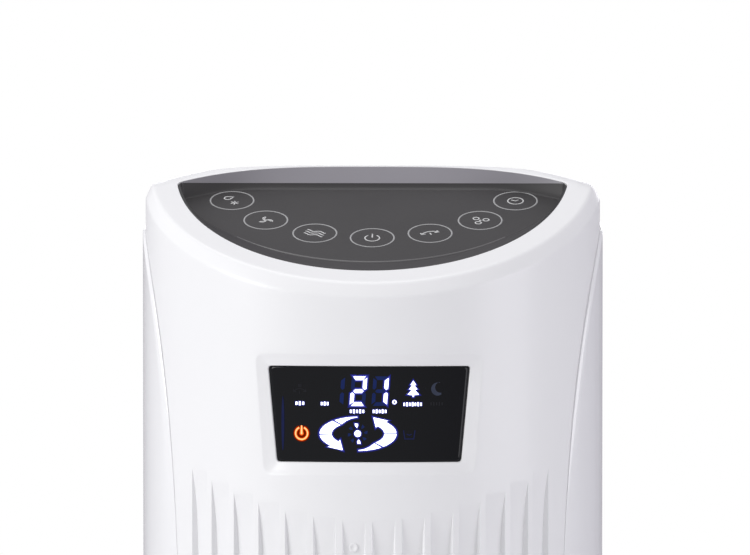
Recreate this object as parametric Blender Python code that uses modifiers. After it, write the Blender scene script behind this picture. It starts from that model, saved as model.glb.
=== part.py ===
"""Humidifying tower fan: a white column that swings on a round weighted base.

Metres, +Z up.  The origin is at the middle of the base, on the floor, and the fan
blows towards -Y.  Plan angles are measured from the front, positive towards +X.
"""

import math

import bmesh
import bpy
from mathutils import Matrix, Vector

# Casing in plan: a round front and a squarer back
FRONT_RADIUS = 0.143
REAR_DEPTH = 0.130
REAR_POWER = 4.0
WALL = 0.0025
GAP = 0.0004
SIDE_PROUD = 0.002
REAR_SPLIT = math.radians(118.0)

# Heights of the casing
CASING_BOTTOM = 0.036
HEAD_JOIN = 1.0205
PANEL_TOP = 1.0196

# Seam between the front shell and each side panel
SEAM_SWEEP = math.radians(35.5)
SEAM_DROP = 0.10
SEAM_POWER = 0.6
SEAM_HEIGHTS = (PANEL_TOP, 1.012, 1.0, 0.985, 0.965, 0.935, 0.89, 0.82, 0.70, CASING_BOTTOM)

# Sloping top: a rim plane that rises to a ridge, then a roof that falls to the back
RIM_LEVEL = 1.055
RIM_SLOPE = 0.404
ROOF_SLOPE = 0.14
RIDGE_Y = 0.0102
RIDGE_DROP = 0.0222
RIDGE_REACH = 0.1368
RIDGE_POWER = 4.5
RIM_BAND = 0.006
BEVEL_OUT = 0.004
BEVEL_DOWN = 0.009

# Recess in the top: a front arc and a flatter back edge, joined by rounded corners
RECESS_RADIUS = 0.1235
RECESS_BACK_Y = 0.009
RECESS_BACK_DROP = 0.0216
RECESS_BACK_REACH = 0.1239
RECESS_BACK_POWER = 3.2
RECESS_TIP_X = 0.1229
RECESS_CORNER = 0.004
FLOOR_LEVEL = 1.0443
FLOOR_SLOPE = 0.354
PANEL_WALL = 0.0018
PANEL_INSET = 0.0036

# Display window
WINDOW_BOTTOM = 0.885
WINDOW_TOP = 0.945
WINDOW_HALF_TOP = 0.0638
WINDOW_HALF_BOTTOM = 0.0577
WINDOW_LIP = 0.003
LENS_THICKNESS = 0.002

# Outlet: tall slots between moulded ribs
RIB_COUNT = 15
RIB_PITCH = math.radians(7.4)
RIB_WIDTH = 0.005
SLOT_BOTTOM = 0.325
SLOT_TOP = 0.80

# Cross-flow impeller
IMPELLER_Y = -0.045
IMPELLER_RADIUS = 0.050
IMPELLER_BOTTOM = 0.325
IMPELLER_TOP = 0.832
BLADE_COUNT = 24
BLADE_DEPTH = 0.012
BLADE_THICKNESS = 0.0009
BLADE_LEAN = math.radians(28.0)
SHAFT_RADIUS = 0.004

# Rear openings
INTAKE_HALF = 0.086
INTAKE_BOTTOM = 0.29
INTAKE_TOP = 0.87
TANK_HALF = 0.0955
TANK_BAY_BOTTOM = 0.0735
TANK_BAY_TOP = 0.2635

# Base
BASE_RADIUS = 0.165
BASE_TOP = 0.032
GLAND_PLACE = (0.0, 0.160, 0.0130)
FOOT_RADIUS = 0.012
FOOT_HEIGHT = 0.0037
FOOT_CIRCLE = 0.135

# Swing gears: a fixed sector and the pinion of the swing motor
GEAR_MODULE = 0.0015
SECTOR_TEETH_ROUND = 64
SECTOR_TEETH = 18
PINION_TEETH = 16
ADDENDUM = 0.0012
DEDENDUM = 0.0018
TOOTH_TIP = 0.0011
TOOTH_ROOT = 0.0026

# Finishes: colour, roughness, metallic
FINISHES = {
    "white_plastic": ((0.90, 0.90, 0.92), 0.25, 0.0),
    "dark_panel": ((0.09, 0.085, 0.095), 0.35, 0.0),
    "smoked_lens": ((0.01, 0.012, 0.025), 0.08, 0.0),
    "black_plastic": ((0.03, 0.03, 0.03), 0.45, 0.0),
    "grey_plastic": ((0.45, 0.46, 0.48), 0.40, 0.0),
    "clear_tank": ((0.70, 0.80, 0.88), 0.20, 0.0),
    "rubber": ((0.05, 0.05, 0.05), 0.80, 0.0),
    "zinc_steel": ((0.62, 0.63, 0.65), 0.35, 1.0),
    "cast_iron": ((0.20, 0.20, 0.21), 0.60, 1.0),
    "circuit_board": ((0.05, 0.22, 0.10), 0.40, 0.0),
    "cooling_paper": ((0.45, 0.33, 0.20), 0.90, 0.0),
    "filter_mesh": ((0.12, 0.12, 0.13), 0.80, 0.0),
    "acetal": ((0.86, 0.85, 0.80), 0.40, 0.0),
    "bronze": ((0.60, 0.42, 0.22), 0.35, 1.0),
}


def clear_scene():
    """Remove whatever the file holds."""
    for old in list(bpy.data.objects):
        bpy.data.objects.remove(old, do_unlink=True)


def new_collection(name):
    """A collection under the scene."""
    collection = bpy.data.collections.new(name)
    bpy.context.scene.collection.children.link(collection)
    return collection


clear_scene()
FAN = new_collection("tower_fan")
CUTTERS = new_collection("cutters")


# ---------------------------------------------------------------- building tools

def finish(obj, finish_name):
    """Give an object its own material."""
    colour, roughness, metallic = FINISHES[finish_name]
    material = bpy.data.materials.new(f"{obj.name}_{finish_name}")
    material.use_nodes = True
    shader = material.node_tree.nodes["Principled BSDF"]
    shader.inputs["Base Color"].default_value = (*colour, 1.0)
    shader.inputs["Roughness"].default_value = roughness
    shader.inputs["Metallic"].default_value = metallic
    obj.data.materials.clear()
    obj.data.materials.append(material)
    return obj


def add_object(name, mesh, finish_name=None):
    """A mesh object in the fan, or among the cutters when it has no finish."""
    obj = bpy.data.objects.new(name, mesh)
    if finish_name:
        FAN.objects.link(obj)
        finish(obj, finish_name)
    else:
        CUTTERS.objects.link(obj)
        obj.hide_render = True
        obj.display_type = "WIRE"
    return obj


def mesh_from(name, build):
    """Run a bmesh builder and return its mesh, with its faces pointing out."""
    work = bmesh.new()
    build(work)
    mesh = bpy.data.meshes.new(name)
    work.to_mesh(mesh)
    work.free()
    return mesh


def smooth(obj, degrees=35.0):
    """Shade an object smooth, with its corners kept sharp."""
    obj.data.shade_smooth()
    obj.data.set_sharp_from_angle(angle=math.radians(degrees))
    return obj


def box(name, low, high, finish_name=None, bevel=0.0):
    """A box between two corners, with its edges rounded if bevel is given."""
    low, high = Vector(low), Vector(high)
    place = Matrix.Translation((low + high) / 2) @ Matrix.Diagonal((*(high - low), 1.0))
    mesh = mesh_from(name, lambda work: bmesh.ops.create_cube(work, size=1.0, matrix=place))
    obj = add_object(name, mesh, finish_name)
    if bevel:
        rounding = obj.modifiers.new("rounded", "BEVEL")
        rounding.width = bevel
        rounding.segments = 1
    return obj


def cylinder(name, centre, radius, low, high, finish_name=None, sides=24):
    """An upright cylinder at a plan centre."""
    place = Matrix.Translation((centre[0], centre[1], (low + high) / 2))

    def build(work):
        bmesh.ops.create_cone(
            work, cap_ends=True, segments=sides, radius1=radius, radius2=radius,
            depth=high - low, matrix=place)

    return smooth(add_object(name, mesh_from(name, build), finish_name))


def turned(name, profile, finish_name, sides=32, centre=(0.0, 0.0), ring=True):
    """A turned piece: the profile runs down its outer side; a ring closes on itself."""

    def build(work):
        points = [work.verts.new((radius, 0.0, height)) for radius, height in profile]
        pairs = list(zip(points, points[1:]))
        if ring:
            pairs.append((points[-1], points[0]))
        for first, second in pairs:
            work.edges.new((first, second))

    obj = add_object(name, mesh_from(name, build), finish_name)
    obj.location = (centre[0], centre[1], 0.0)
    screw = obj.modifiers.new("turned", "SCREW")
    screw.steps = sides
    screw.render_steps = sides
    screw.use_merge_vertices = True
    screw.merge_threshold = 0.0001
    return obj


def circle(radius, centre=(0.0, 0.0), sides=24):
    """Points round a circle."""
    turns = [math.tau * index / sides for index in range(sides)]
    return [(centre[0] + radius * math.cos(t), centre[1] + radius * math.sin(t)) for t in turns]


def flat_mesh(name, outlines, thickness):
    """The mesh of a flat outline, with holes, centred on its own plane."""
    curve = bpy.data.curves.new(name, "CURVE")
    curve.dimensions = "2D"
    curve.fill_mode = "BOTH"
    curve.extrude = thickness / 2
    for outline in outlines:
        spline = curve.splines.new("POLY")
        spline.points.add(len(outline) - 1)
        spline.use_cyclic_u = True
        for point, (x, y) in zip(spline.points, outline):
            point.co = (x, y, 0.0, 1.0)
    drawn = bpy.data.objects.new(name, curve)
    CUTTERS.objects.link(drawn)
    bpy.context.view_layer.update()
    view = bpy.context.evaluated_depsgraph_get()
    mesh = bpy.data.meshes.new_from_object(drawn.evaluated_get(view))
    bpy.data.objects.remove(drawn)
    bpy.data.curves.remove(curve)
    work = bmesh.new()
    work.from_mesh(mesh)
    bmesh.ops.remove_doubles(work, verts=work.verts, dist=0.00001)
    bmesh.ops.recalc_face_normals(work, faces=work.faces)
    work.to_mesh(mesh)
    work.free()
    return mesh


def plate(name, outlines, low, high, finish_name=None):
    """A level plate cut to an outline, between two heights."""
    obj = add_object(name, flat_mesh(name, outlines, high - low), finish_name)
    obj.data.transform(Matrix.Translation((0.0, 0.0, (low + high) / 2)))
    return obj


def upright_plate(name, outlines, front, back, finish_name=None):
    """A plate cut to an outline in X and Z, between two places along Y."""
    obj = add_object(name, flat_mesh(name, outlines, back - front), finish_name)
    stand = Matrix.Rotation(math.radians(90.0), 4, "X")
    obj.data.transform(Matrix.Translation((0.0, (front + back) / 2, 0.0)) @ stand)
    return obj


def rectangle(low, high):
    """Corners of a rectangle."""
    return [(low[0], low[1]), (high[0], low[1]), (high[0], high[1]), (low[0], high[1])]


def loft(work, rows, closed=False):
    """Faces between rows of points; a closed loft joins each row's end to its start."""
    rings = [[work.verts.new(point) for point in row] for row in rows]
    for upper, lower in zip(rings, rings[1:]):
        last = len(upper) if closed else len(upper) - 1
        for index in range(last):
            after = (index + 1) % len(upper)
            work.faces.new((upper[index], lower[index], lower[after], upper[after]))
    return rings


def thicken(obj, thickness, offset=-1.0):
    """Make a closed wall from an open surface."""
    wall = obj.modifiers.new("wall", "SOLIDIFY")
    wall.thickness = thickness
    wall.offset = offset
    wall.use_even_offset = True
    return obj


def skin(name, rows, thickness, finish_name):
    """A curved wall lofted through rows of points, top row first and left to right."""
    obj = add_object(name, mesh_from(name, lambda work: loft(work, rows)), finish_name)
    return smooth(thicken(obj, thickness))


def lattice(name, rows, bar, finish_name):
    """A curved lattice with a bar along each edge of a lofted grid."""
    obj = add_object(name, mesh_from(name, lambda work: loft(work, rows)), finish_name)
    wire = obj.modifiers.new("bars", "WIREFRAME")
    wire.thickness = bar
    wire.use_even_offset = False
    wire.use_boundary = True
    return obj


def tray(name, low, high, wall, finish_name):
    """An open-topped tray with even walls."""
    low, high = Vector(low), Vector(high)
    place = Matrix.Translation((low + high) / 2) @ Matrix.Diagonal((*(high - low), 1.0))

    def build(work):
        bmesh.ops.create_cube(work, size=1.0, matrix=place)
        work.faces.ensure_lookup_table()
        lid = max(work.faces, key=lambda face: face.calc_center_median().z)
        bmesh.ops.delete(work, geom=[lid], context="FACES_ONLY")

    return thicken(add_object(name, mesh_from(name, build), finish_name), wall)


def tube(name, route, radius, finish_name):
    """A hose along a route."""
    curve = bpy.data.curves.new(name, "CURVE")
    curve.dimensions = "3D"
    curve.bevel_depth = radius
    curve.bevel_resolution = 2
    curve.use_fill_caps = True
    spline = curve.splines.new("POLY")
    spline.points.add(len(route) - 1)
    for point, place in zip(spline.points, route):
        point.co = (*place, 1.0)
    obj = bpy.data.objects.new(name, curve)
    FAN.objects.link(obj)
    return finish(obj, finish_name)


def boolean(target, other, operation):
    """Cut or join a target with another mesh object, through a modifier."""
    change = target.modifiers.new(f"{operation.lower()}_{other.name}", "BOOLEAN")
    change.operation = operation
    change.solver = "EXACT"
    change.object = other
    return target


# ---------------------------------------------------------------- shape of the casing

def plan_point(angle, grow=0.0):
    """A point on the casing's plan outline at an angle from the front."""
    turn = abs(angle)
    radius = FRONT_RADIUS + grow
    if turn <= math.pi / 2:
        x, y = radius * math.sin(turn), -radius * math.cos(turn)
    else:
        past = turn - math.pi / 2
        x = radius * max(math.cos(past), 0.0) ** (2 / REAR_POWER)
        y = (REAR_DEPTH + grow) * math.sin(past) ** (2 / REAR_POWER)
    return (math.copysign(x, angle), y)


def seam_angle(height):
    """Angle of the seam between the front shell and a side panel."""
    drop = max(HEAD_JOIN - 0.0005 - height, 0.0)
    return math.pi / 2 - SEAM_SWEEP * (1.0 - math.exp(-drop / SEAM_DROP)) ** SEAM_POWER


def spread(first, last, count):
    """Evenly spaced values, ends included."""
    return [first + (last - first) * index / (count - 1) for index in range(count)]


def back_edge(x):
    """Place along Y of the recess's back edge."""
    share = abs(x) / RECESS_BACK_REACH
    return RECESS_BACK_Y - RECESS_BACK_DROP * share ** RECESS_BACK_POWER


def ridge_line(x):
    """Place along Y of the ridge behind the recess."""
    return RIDGE_Y - RIDGE_DROP * (abs(x) / RIDGE_REACH) ** RIDGE_POWER


CORNER_TIP = Vector((RECESS_TIP_X, back_edge(RECESS_TIP_X)))
CORNER_START = math.atan2(CORNER_TIP.x, -CORNER_TIP.y) - RECESS_CORNER / RECESS_RADIUS
CORNER_BACK_X = RECESS_TIP_X - 0.9 * RECESS_CORNER
FRONT_STEPS = 20
BACK_STEPS = 10
CORNER_STEPS = 3
FRONT_OUTER = math.radians(79.9)
CORNER_OUTER = [math.radians(degrees) for degrees in (90.0, 100.0, 112.0)]


def corner_points():
    """The right corner of the recess, from the front arc to the back edge."""
    start = Vector((math.sin(CORNER_START), -math.cos(CORNER_START))) * RECESS_RADIUS
    end = Vector((CORNER_BACK_X, back_edge(CORNER_BACK_X)))
    points = []
    for step in range(1, CORNER_STEPS + 1):
        share = step / CORNER_STEPS
        first = start.lerp(CORNER_TIP, share)
        points.append(first.lerp(CORNER_TIP.lerp(end, share), share))
    return points


def recess_outline(inset=0.0):
    """The recess's outline, moved inwards by an inset, starting at its left end."""
    points = []
    for angle in spread(-CORNER_START, CORNER_START, FRONT_STEPS + 1):
        points.append(Vector((math.sin(angle), -math.cos(angle))) * RECESS_RADIUS)
    corner = corner_points()
    points += corner
    for x in spread(CORNER_BACK_X, -CORNER_BACK_X, BACK_STEPS + 1)[1:]:
        points.append(Vector((x, back_edge(x))))
    points += [Vector((-point.x, point.y)) for point in reversed(corner[:-1])]
    moved = []
    for index, point in enumerate(points):
        along = points[(index + 1) % len(points)] - points[index - 1]
        inward = Vector((-along.y, along.x)).normalized()
        moved.append(tuple(point + inward * inset))
    return moved


def ridge_outline():
    """The middle of the rim in front and the ridge behind, to pair with the outline."""
    spots = []
    for (x, y), outside in zip(recess_outline(), recess_outline(-RIM_BAND)):
        behind = y > back_edge(CORNER_BACK_X) - 0.0001
        spots.append((x, ridge_line(x)) if behind else outside)
    return spots


def head_angles():
    """Outer plan angles that pair with the recess outline's points."""
    front = spread(-FRONT_OUTER, FRONT_OUTER, FRONT_STEPS + 1)
    back = spread(CORNER_OUTER[-1], math.tau - CORNER_OUTER[-1], BACK_STEPS + 1)[1:]
    left = [-angle for angle in reversed(CORNER_OUTER[:-1])]
    back = [angle if angle <= math.pi else angle - math.tau for angle in back]
    return front + CORNER_OUTER + back + left


def top_height(x, y):
    """Height of the sloping top: the rim plane up to the ridge, then the roof."""
    ridge = ridge_line(x)
    roof = RIM_LEVEL + RIM_SLOPE * ridge - ROOF_SLOPE * (y - ridge)
    return min(RIM_LEVEL + RIM_SLOPE * y, roof)


def floor_height(y):
    """Height of the recess's sloping floor."""
    return FLOOR_LEVEL + FLOOR_SLOPE * y


# ---------------------------------------------------------------- casing

def shell_rows(angles, crease):
    """Rows of the front wall below the crease, which narrow as the seam closes in."""
    side_top = max(point[2] for point in crease)
    rows = []
    for height in (HEAD_JOIN, *SEAM_HEIGHTS):
        row = []
        for angle, point in zip(angles, crease):
            x, y = plan_point(angle * seam_angle(height) / (math.pi / 2))
            share = (height - CASING_BOTTOM) / (side_top - CASING_BOTTOM)
            row.append((x, y, CASING_BOTTOM + share * (point[2] - CASING_BOTTOM)))
        rows.append(row)
    return rows


def make_front_shell():
    """Front shell: the head with its rim, the window opening and the ribbed outlet."""
    angles = head_angles()
    edge = [(x, y, top_height(x, y)) for x, y in [plan_point(a, -BEVEL_OUT) for a in angles]]
    wall = [plan_point(angle) for angle in angles]
    crease = [(x, y, point[2] - BEVEL_DOWN) for (x, y), point in zip(wall, edge)]
    ridge = [(x, y, top_height(x, y)) for x, y in ridge_outline()]
    inner = [(x, y, top_height(x, y)) for x, y in recess_outline()]
    quarter = math.pi / 2 + 0.001
    front = sorted((i for i, a in enumerate(angles) if abs(a) <= quarter), key=angles.__getitem__)
    rear = [i for i, a in enumerate(angles) if abs(a) >= quarter - 0.002]

    def build(work):
        head = loft(work, [inner, ridge, edge, crease], closed=True)[-1]
        rows = shell_rows([angles[i] for i in front], [crease[i] for i in front])
        loft(work, [[head[i].co.copy() for i in front]] + rows)
        skirt = [(*wall[i], HEAD_JOIN) for i in rear]
        loft(work, [[head[i].co.copy() for i in rear], skirt])
        bmesh.ops.remove_doubles(work, verts=work.verts, dist=0.00001)

    shell = smooth(add_object("front_shell", mesh_from("front_shell", build), "white_plastic"))
    thicken(shell, WALL)
    boolean(shell, window_cutter(), "DIFFERENCE")
    boolean(shell, slot_cutter(), "DIFFERENCE")
    return shell


def window_outline(grow=0.0):
    """The display window's outline in X and Z."""
    top, bottom = WINDOW_HALF_TOP + grow, WINDOW_HALF_BOTTOM + grow
    low, high = WINDOW_BOTTOM - grow, WINDOW_TOP + grow
    return [(-bottom, low), (bottom, low), (top, high), (-top, high)]


def window_cutter():
    """Cuts the display window through the front wall."""
    return upright_plate("window_cutter", [window_outline()], -0.160, -0.100)


def slot_cutter():
    """Cuts the tall slots that leave the moulded ribs."""
    depth = 0.020
    width = FRONT_RADIUS * RIB_PITCH - RIB_WIDTH
    size = Matrix.Diagonal((width, depth, SLOT_TOP - SLOT_BOTTOM, 1.0))
    middle = Matrix.Translation((0.0, -FRONT_RADIUS, (SLOT_TOP + SLOT_BOTTOM) / 2))

    def build(work):
        for index in range(RIB_COUNT - 1):
            turn = Matrix.Rotation((index + 1 - RIB_COUNT / 2) * RIB_PITCH, 4, "Z")
            bmesh.ops.create_cube(work, size=1.0, matrix=turn @ middle @ size)

    return add_object("slot_cutter", mesh_from("slot_cutter", build))


def make_side_panel(name, side):
    """A side panel from the front seam round to the rear housing, slightly proud."""
    gap = GAP / FRONT_RADIUS
    rows = []
    for height in SEAM_HEIGHTS:
        start = seam_angle(height) + gap
        row = []
        for angle in spread(start, REAR_SPLIT, 9):
            rise = min((angle - start) / (math.pi / 2 - seam_angle(CASING_BOTTOM)), 1.0)
            proud = SIDE_PROUD * rise * rise * (3.0 - 2.0 * rise)
            row.append((*plan_point(side * angle, proud), height))
        rows.append(row if side > 0 else row[::-1])
    return skin(name, rows, WALL, "white_plastic")


def make_rear_housing():
    """Rear housing with the air intake and the tank bay cut through it."""
    gap = 4 * GAP / REAR_DEPTH
    angles = spread(REAR_SPLIT + gap, math.tau - REAR_SPLIT - gap, 17)
    rows = [[(*plan_point(math.remainder(a, math.tau)), z) for a in angles]
            for z in (PANEL_TOP, CASING_BOTTOM)]
    housing = skin("rear_housing", rows, WALL, "white_plastic")
    deep = (0.08, 0.16)
    intake = box("intake_cutter", (-INTAKE_HALF, deep[0], INTAKE_BOTTOM),
                 (INTAKE_HALF, deep[1], INTAKE_TOP))
    bay = box("bay_cutter", (-TANK_HALF, deep[0], TANK_BAY_BOTTOM),
              (TANK_HALF, deep[1], TANK_BAY_TOP))
    boolean(housing, intake, "DIFFERENCE")
    return boolean(housing, bay, "DIFFERENCE")


def make_control_panel():
    """Dark touch panel: a sloping floor with walls up to the rim."""
    centre = Vector((0.0, -0.045))
    rim = [(x, y, top_height(x, y) - 0.0008) for x, y in recess_outline(PANEL_INSET)]
    outer = recess_outline(PANEL_INSET + 0.0008)
    foot = [(x, y, floor_height(y) + 0.0004) for x, y in outer]
    rows = [rim, foot]
    for share in (0.75, 0.4):
        places = [centre + (Vector(place) - centre) * share for place in outer]
        rows.append([(place.x, place.y, floor_height(place.y)) for place in places])

    def build(work):
        last = loft(work, rows, closed=True)[-1]
        work.faces.new(list(reversed(last)))
        bmesh.ops.recalc_face_normals(work, faces=work.faces)
        if sum(face.normal.z * face.calc_area() for face in work.faces) < 0:
            bmesh.ops.reverse_faces(work, faces=work.faces)

    mesh = mesh_from("control_panel", build)
    return smooth(thicken(add_object("control_panel", mesh, "dark_panel"), PANEL_WALL))


def curved_patch(radius, half_top, half_bottom, low, high, columns):
    """Rows of a curved patch on the front of a round wall."""
    rows = []
    for z, half in ((high, half_top), (low, half_bottom)):
        reach = math.asin(half / radius)
        angles = spread(-reach, reach, columns)
        rows.append([(radius * math.sin(a), -radius * math.cos(a), z) for a in angles])
    return rows


def make_display():
    """Lens, LED module and display board behind the window."""
    radius = FRONT_RADIUS - WALL - GAP
    rows = curved_patch(radius, WINDOW_HALF_TOP + WINDOW_LIP, WINDOW_HALF_BOTTOM + WINDOW_LIP,
                        WINDOW_BOTTOM - WINDOW_LIP, WINDOW_TOP + WINDOW_LIP, 17)
    skin("display_window", rows, LENS_THICKNESS, "smoked_lens")
    box("led_module", (-0.054, -0.1215, 0.888), (0.054, -0.1165, 0.942), "black_plastic", 0.0006)
    box("display_board", (-0.060, -0.1160, 0.882), (0.060, -0.1144, 0.950), "circuit_board")


# ---------------------------------------------------------------- air path

def make_impeller():
    """Cross-flow impeller: leaning blades through three discs on one shaft."""
    impeller = cylinder("impeller", (0.0, 0.0), SHAFT_RADIUS, 0.3170, 0.8420, "black_plastic", 12)
    place = (0.0, IMPELLER_Y, 0.0)
    impeller.location = place
    discs = (IMPELLER_BOTTOM, (IMPELLER_BOTTOM + IMPELLER_TOP) / 2, IMPELLER_TOP - 0.003)
    for number, low in enumerate(discs, 1):
        disc = cylinder(f"disc_{number}", (0.0, 0.0), IMPELLER_RADIUS, low, low + 0.003)
        disc.location = place
        boolean(impeller, disc, "UNION")
    low, high = IMPELLER_BOTTOM + 0.0012, IMPELLER_TOP - 0.0012
    size = Matrix.Diagonal((BLADE_THICKNESS, BLADE_DEPTH, high - low, 1.0))
    middle = Matrix.Translation((0.0, -IMPELLER_RADIUS + BLADE_DEPTH * 0.55, (low + high) / 2))
    lean = Matrix.Rotation(BLADE_LEAN, 4, "Z")

    def build(work):
        for index in range(BLADE_COUNT):
            turn = Matrix.Rotation(math.tau * (index + 0.5) / BLADE_COUNT, 4, "Z")
            bmesh.ops.create_cube(work, size=1.0, matrix=turn @ middle @ lean @ size)

    blades = add_object("blades", mesh_from("blades", build))
    blades.location = place
    return boolean(impeller, blades, "UNION")


def wall_strip(name, points, low, high, thickness, finish_name):
    """An upright wall that follows points in plan."""
    rows = [[(x, y, z) for x, y in points] for z in (high, low)]
    return thicken(add_object(name, mesh_from(name, lambda work: loft(work, rows)), finish_name),
                   thickness, 0.0)


def make_air_path():
    """Scroll walls, outlet guard, ioniser, cooling pad and its water supply."""
    scroll = []
    for turn in spread(0.0, math.radians(125.0), 12):
        radius = IMPELLER_RADIUS + 0.004 + 0.025 * turn / math.radians(125.0)
        scroll.append((radius * math.sin(turn), IMPELLER_Y + radius * math.cos(turn)))
    wall_strip("scroll_wall", scroll, 0.326, 0.831, 0.002, "grey_plastic")
    cutoff = [(-0.097, -0.088), (-0.080, -0.080), (-0.064, -0.067), (-0.060, -0.050)]
    wall_strip("cutoff_wall", cutoff, 0.326, 0.831, 0.002, "grey_plastic")
    reach = math.radians(50.0)
    radius = FRONT_RADIUS - WALL - 0.004
    angles = spread(-reach, reach, 9)
    rows = [[(radius * math.sin(a), -radius * math.cos(a), z) for a in angles]
            for z in spread(SLOT_TOP - 0.006, SLOT_BOTTOM + 0.008, 9)]
    lattice("outlet_guard", rows, 0.0018, "black_plastic")
    box("ioniser", (-0.085, -0.098, 0.850), (-0.055, -0.084, 0.868), "black_plastic", 0.001)
    box("cooling_pad", (-0.0975, 0.0625, 0.2835), (0.0975, 0.0875, 0.8585), "cooling_paper")
    upright_plate("pad_frame", [rectangle((-0.104, 0.2755), (0.104, 0.8610)),
                                rectangle((-0.098, 0.2830), (0.098, 0.8590))],
                  0.0600, 0.0900, "white_plastic")
    tray("drip_tray", (-0.100, 0.058, 0.8615), (0.100, 0.092, 0.8765), 0.0018, "white_plastic")
    tray("sump_tray", (-0.095, -0.031, 0.0385), (0.095, 0.104, 0.0720), 0.0022, "white_plastic")
    cylinder("pump", (0.074, -0.010), 0.015, 0.0412, 0.0700, "black_plastic")
    route = [(0.074, -0.010, 0.0704), (0.075, -0.010, 0.085), (0.086, -0.008, 0.098),
             (0.100, 0.000, 0.115), (0.110, 0.015, 0.140), (0.1150, 0.032, 0.175),
             (0.1160, 0.044, 0.220), (0.1160, 0.046, 0.400), (0.1160, 0.046, 0.820), (0.1150, 0.050, 0.860),
             (0.1080, 0.060, 0.884), (0.0960, 0.069, 0.892), (0.0840, 0.074, 0.892)]
    tube("pump_hose", route, 0.0033, "rubber")


def make_drive():
    """Fan motor, its bracket and the impeller's upper bearing."""
    centre = (0.0, IMPELLER_Y)
    cylinder("fan_motor", centre, 0.036, 0.2665, 0.3165, "zinc_steel")
    bracket = [rectangle((-0.100, -0.092), (0.100, 0.000))]
    plate("motor_bracket", bracket, 0.2630, 0.2660, "zinc_steel")
    turned("top_bearing", [(0.0120, 0.8410), (0.0120, 0.8345), (0.00415, 0.8345),
                           (0.00415, 0.8410)], "bronze", 24, centre)
    support = [rectangle((-0.090, -0.080), (0.090, -0.010)), circle(0.0124, centre)]
    plate("bearing_bracket", support, 0.8345, 0.8410, "grey_plastic")


# ---------------------------------------------------------------- water tank and filter

def rear_patch(half, grow, heights, columns):
    """Rows on the rear wall between two edges the same distance from the middle."""
    past = math.acos((half / (FRONT_RADIUS + grow)) ** (REAR_POWER / 2))
    angles = spread(math.pi / 2 + past, 1.5 * math.pi - past, columns)
    return [[(*plan_point(math.remainder(a, math.tau), grow), z) for a in angles]
            for z in heights]


def make_tank():
    """Slide-out water tank with its curved cover, grip and level window."""
    tray("water_tank", (-0.088, 0.008, 0.0755), (0.088, 0.117, 0.2450), 0.0020, "clear_tank")
    heights = (TANK_BAY_TOP - GAP, TANK_BAY_BOTTOM + GAP)
    cover = skin("tank_cover", rear_patch(TANK_HALF - GAP, 0.0, heights, 15), WALL,
                 "white_plastic")
    slot = box("level_cutter", (-0.0065, 0.11, 0.110), (0.0065, 0.15, 0.200))
    boolean(cover, slot, "DIFFERENCE")
    box("level_window", (-0.0060, 0.1280, 0.1105), (0.0060, 0.1296, 0.1995), "clear_tank")
    box("tank_grip", (-0.035, 0.1304, 0.224), (0.035, 0.1350, 0.232), "white_plastic", 0.001)


def make_filter():
    """Pull-off rear intake grille with its dust filter."""
    heights = spread(INTAKE_TOP - 0.003, INTAKE_BOTTOM + 0.003, 14)
    rows = rear_patch(INTAKE_HALF - 0.003, -0.0026, heights, 7)
    lattice("filter_frame", rows, 0.0040, "white_plastic")
    box("dust_filter", (-0.083, 0.1150, 0.293), (0.083, 0.1170, 0.867), "filter_mesh")


# ---------------------------------------------------------------- boards

def make_boards():
    """Touch board under the control panel and the main board low in the column."""
    touch = box("touch_board", (-0.085, -0.090, -0.0008), (0.085, -0.010, 0.0008),
                "circuit_board")
    tilt = Matrix.Rotation(math.atan(FLOOR_SLOPE), 4, "X")
    place = Matrix.Translation((0.0, 0.004, floor_height(0.0) - 0.0055))
    touch.data.transform(place @ tilt)
    box("main_board", (-0.085, -0.0960, 0.070), (-0.030, -0.0944, 0.200), "circuit_board")


# ---------------------------------------------------------------- base and swing drive

def gear_outline(teeth, present, pitch_radius, start):
    """A gear's outline: slim straight-sided teeth, and the root circle elsewhere."""
    step = math.tau / teeth
    root, tip = pitch_radius - DEDENDUM, pitch_radius + ADDENDUM
    points = []
    for index in range(teeth):
        middle = start + index * step
        if index < present:
            for radius, width, side in ((root, TOOTH_ROOT, -1), (tip, TOOTH_TIP, -1),
                                        (tip, TOOTH_TIP, 1), (root, TOOTH_ROOT, 1)):
                angle = middle + side * width / (2 * radius)
                points.append((radius * math.cos(angle), radius * math.sin(angle)))
        elif index % 3 == 0:
            points.append((root * math.cos(middle), root * math.sin(middle)))
    return points


SECTOR_RADIUS = GEAR_MODULE * SECTOR_TEETH_ROUND / 2
PINION_RADIUS = GEAR_MODULE * PINION_TEETH / 2
PINION_Y = -(SECTOR_RADIUS + PINION_RADIUS)


def make_swing_drive():
    """Fixed gear sector on the base, and the motor and pinion in the column."""
    step = math.tau / SECTOR_TEETH_ROUND
    start = -math.pi / 2 - (SECTOR_TEETH - 1) / 2 * step
    sector = gear_outline(SECTOR_TEETH_ROUND, SECTOR_TEETH, SECTOR_RADIUS, start)
    plate("swing_gear", [sector, circle(0.0335)], 0.0074, 0.0185, "acetal")
    teeth = gear_outline(PINION_TEETH, PINION_TEETH, PINION_RADIUS, math.pi / 2)
    pinion = plate("swing_pinion", [teeth], 0.0115, 0.0185, "acetal")
    pinion.location = (0.0, PINION_Y, 0.0)
    stub = cylinder("pinion_stub", (0.0, 0.0), 0.003, 0.0180, 0.0370, sides=16)
    stub.location = pinion.location
    boolean(pinion, stub, "UNION")
    cylinder("swing_motor", (0.0, PINION_Y), 0.024, 0.0374, 0.0570, "zinc_steel")


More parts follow.
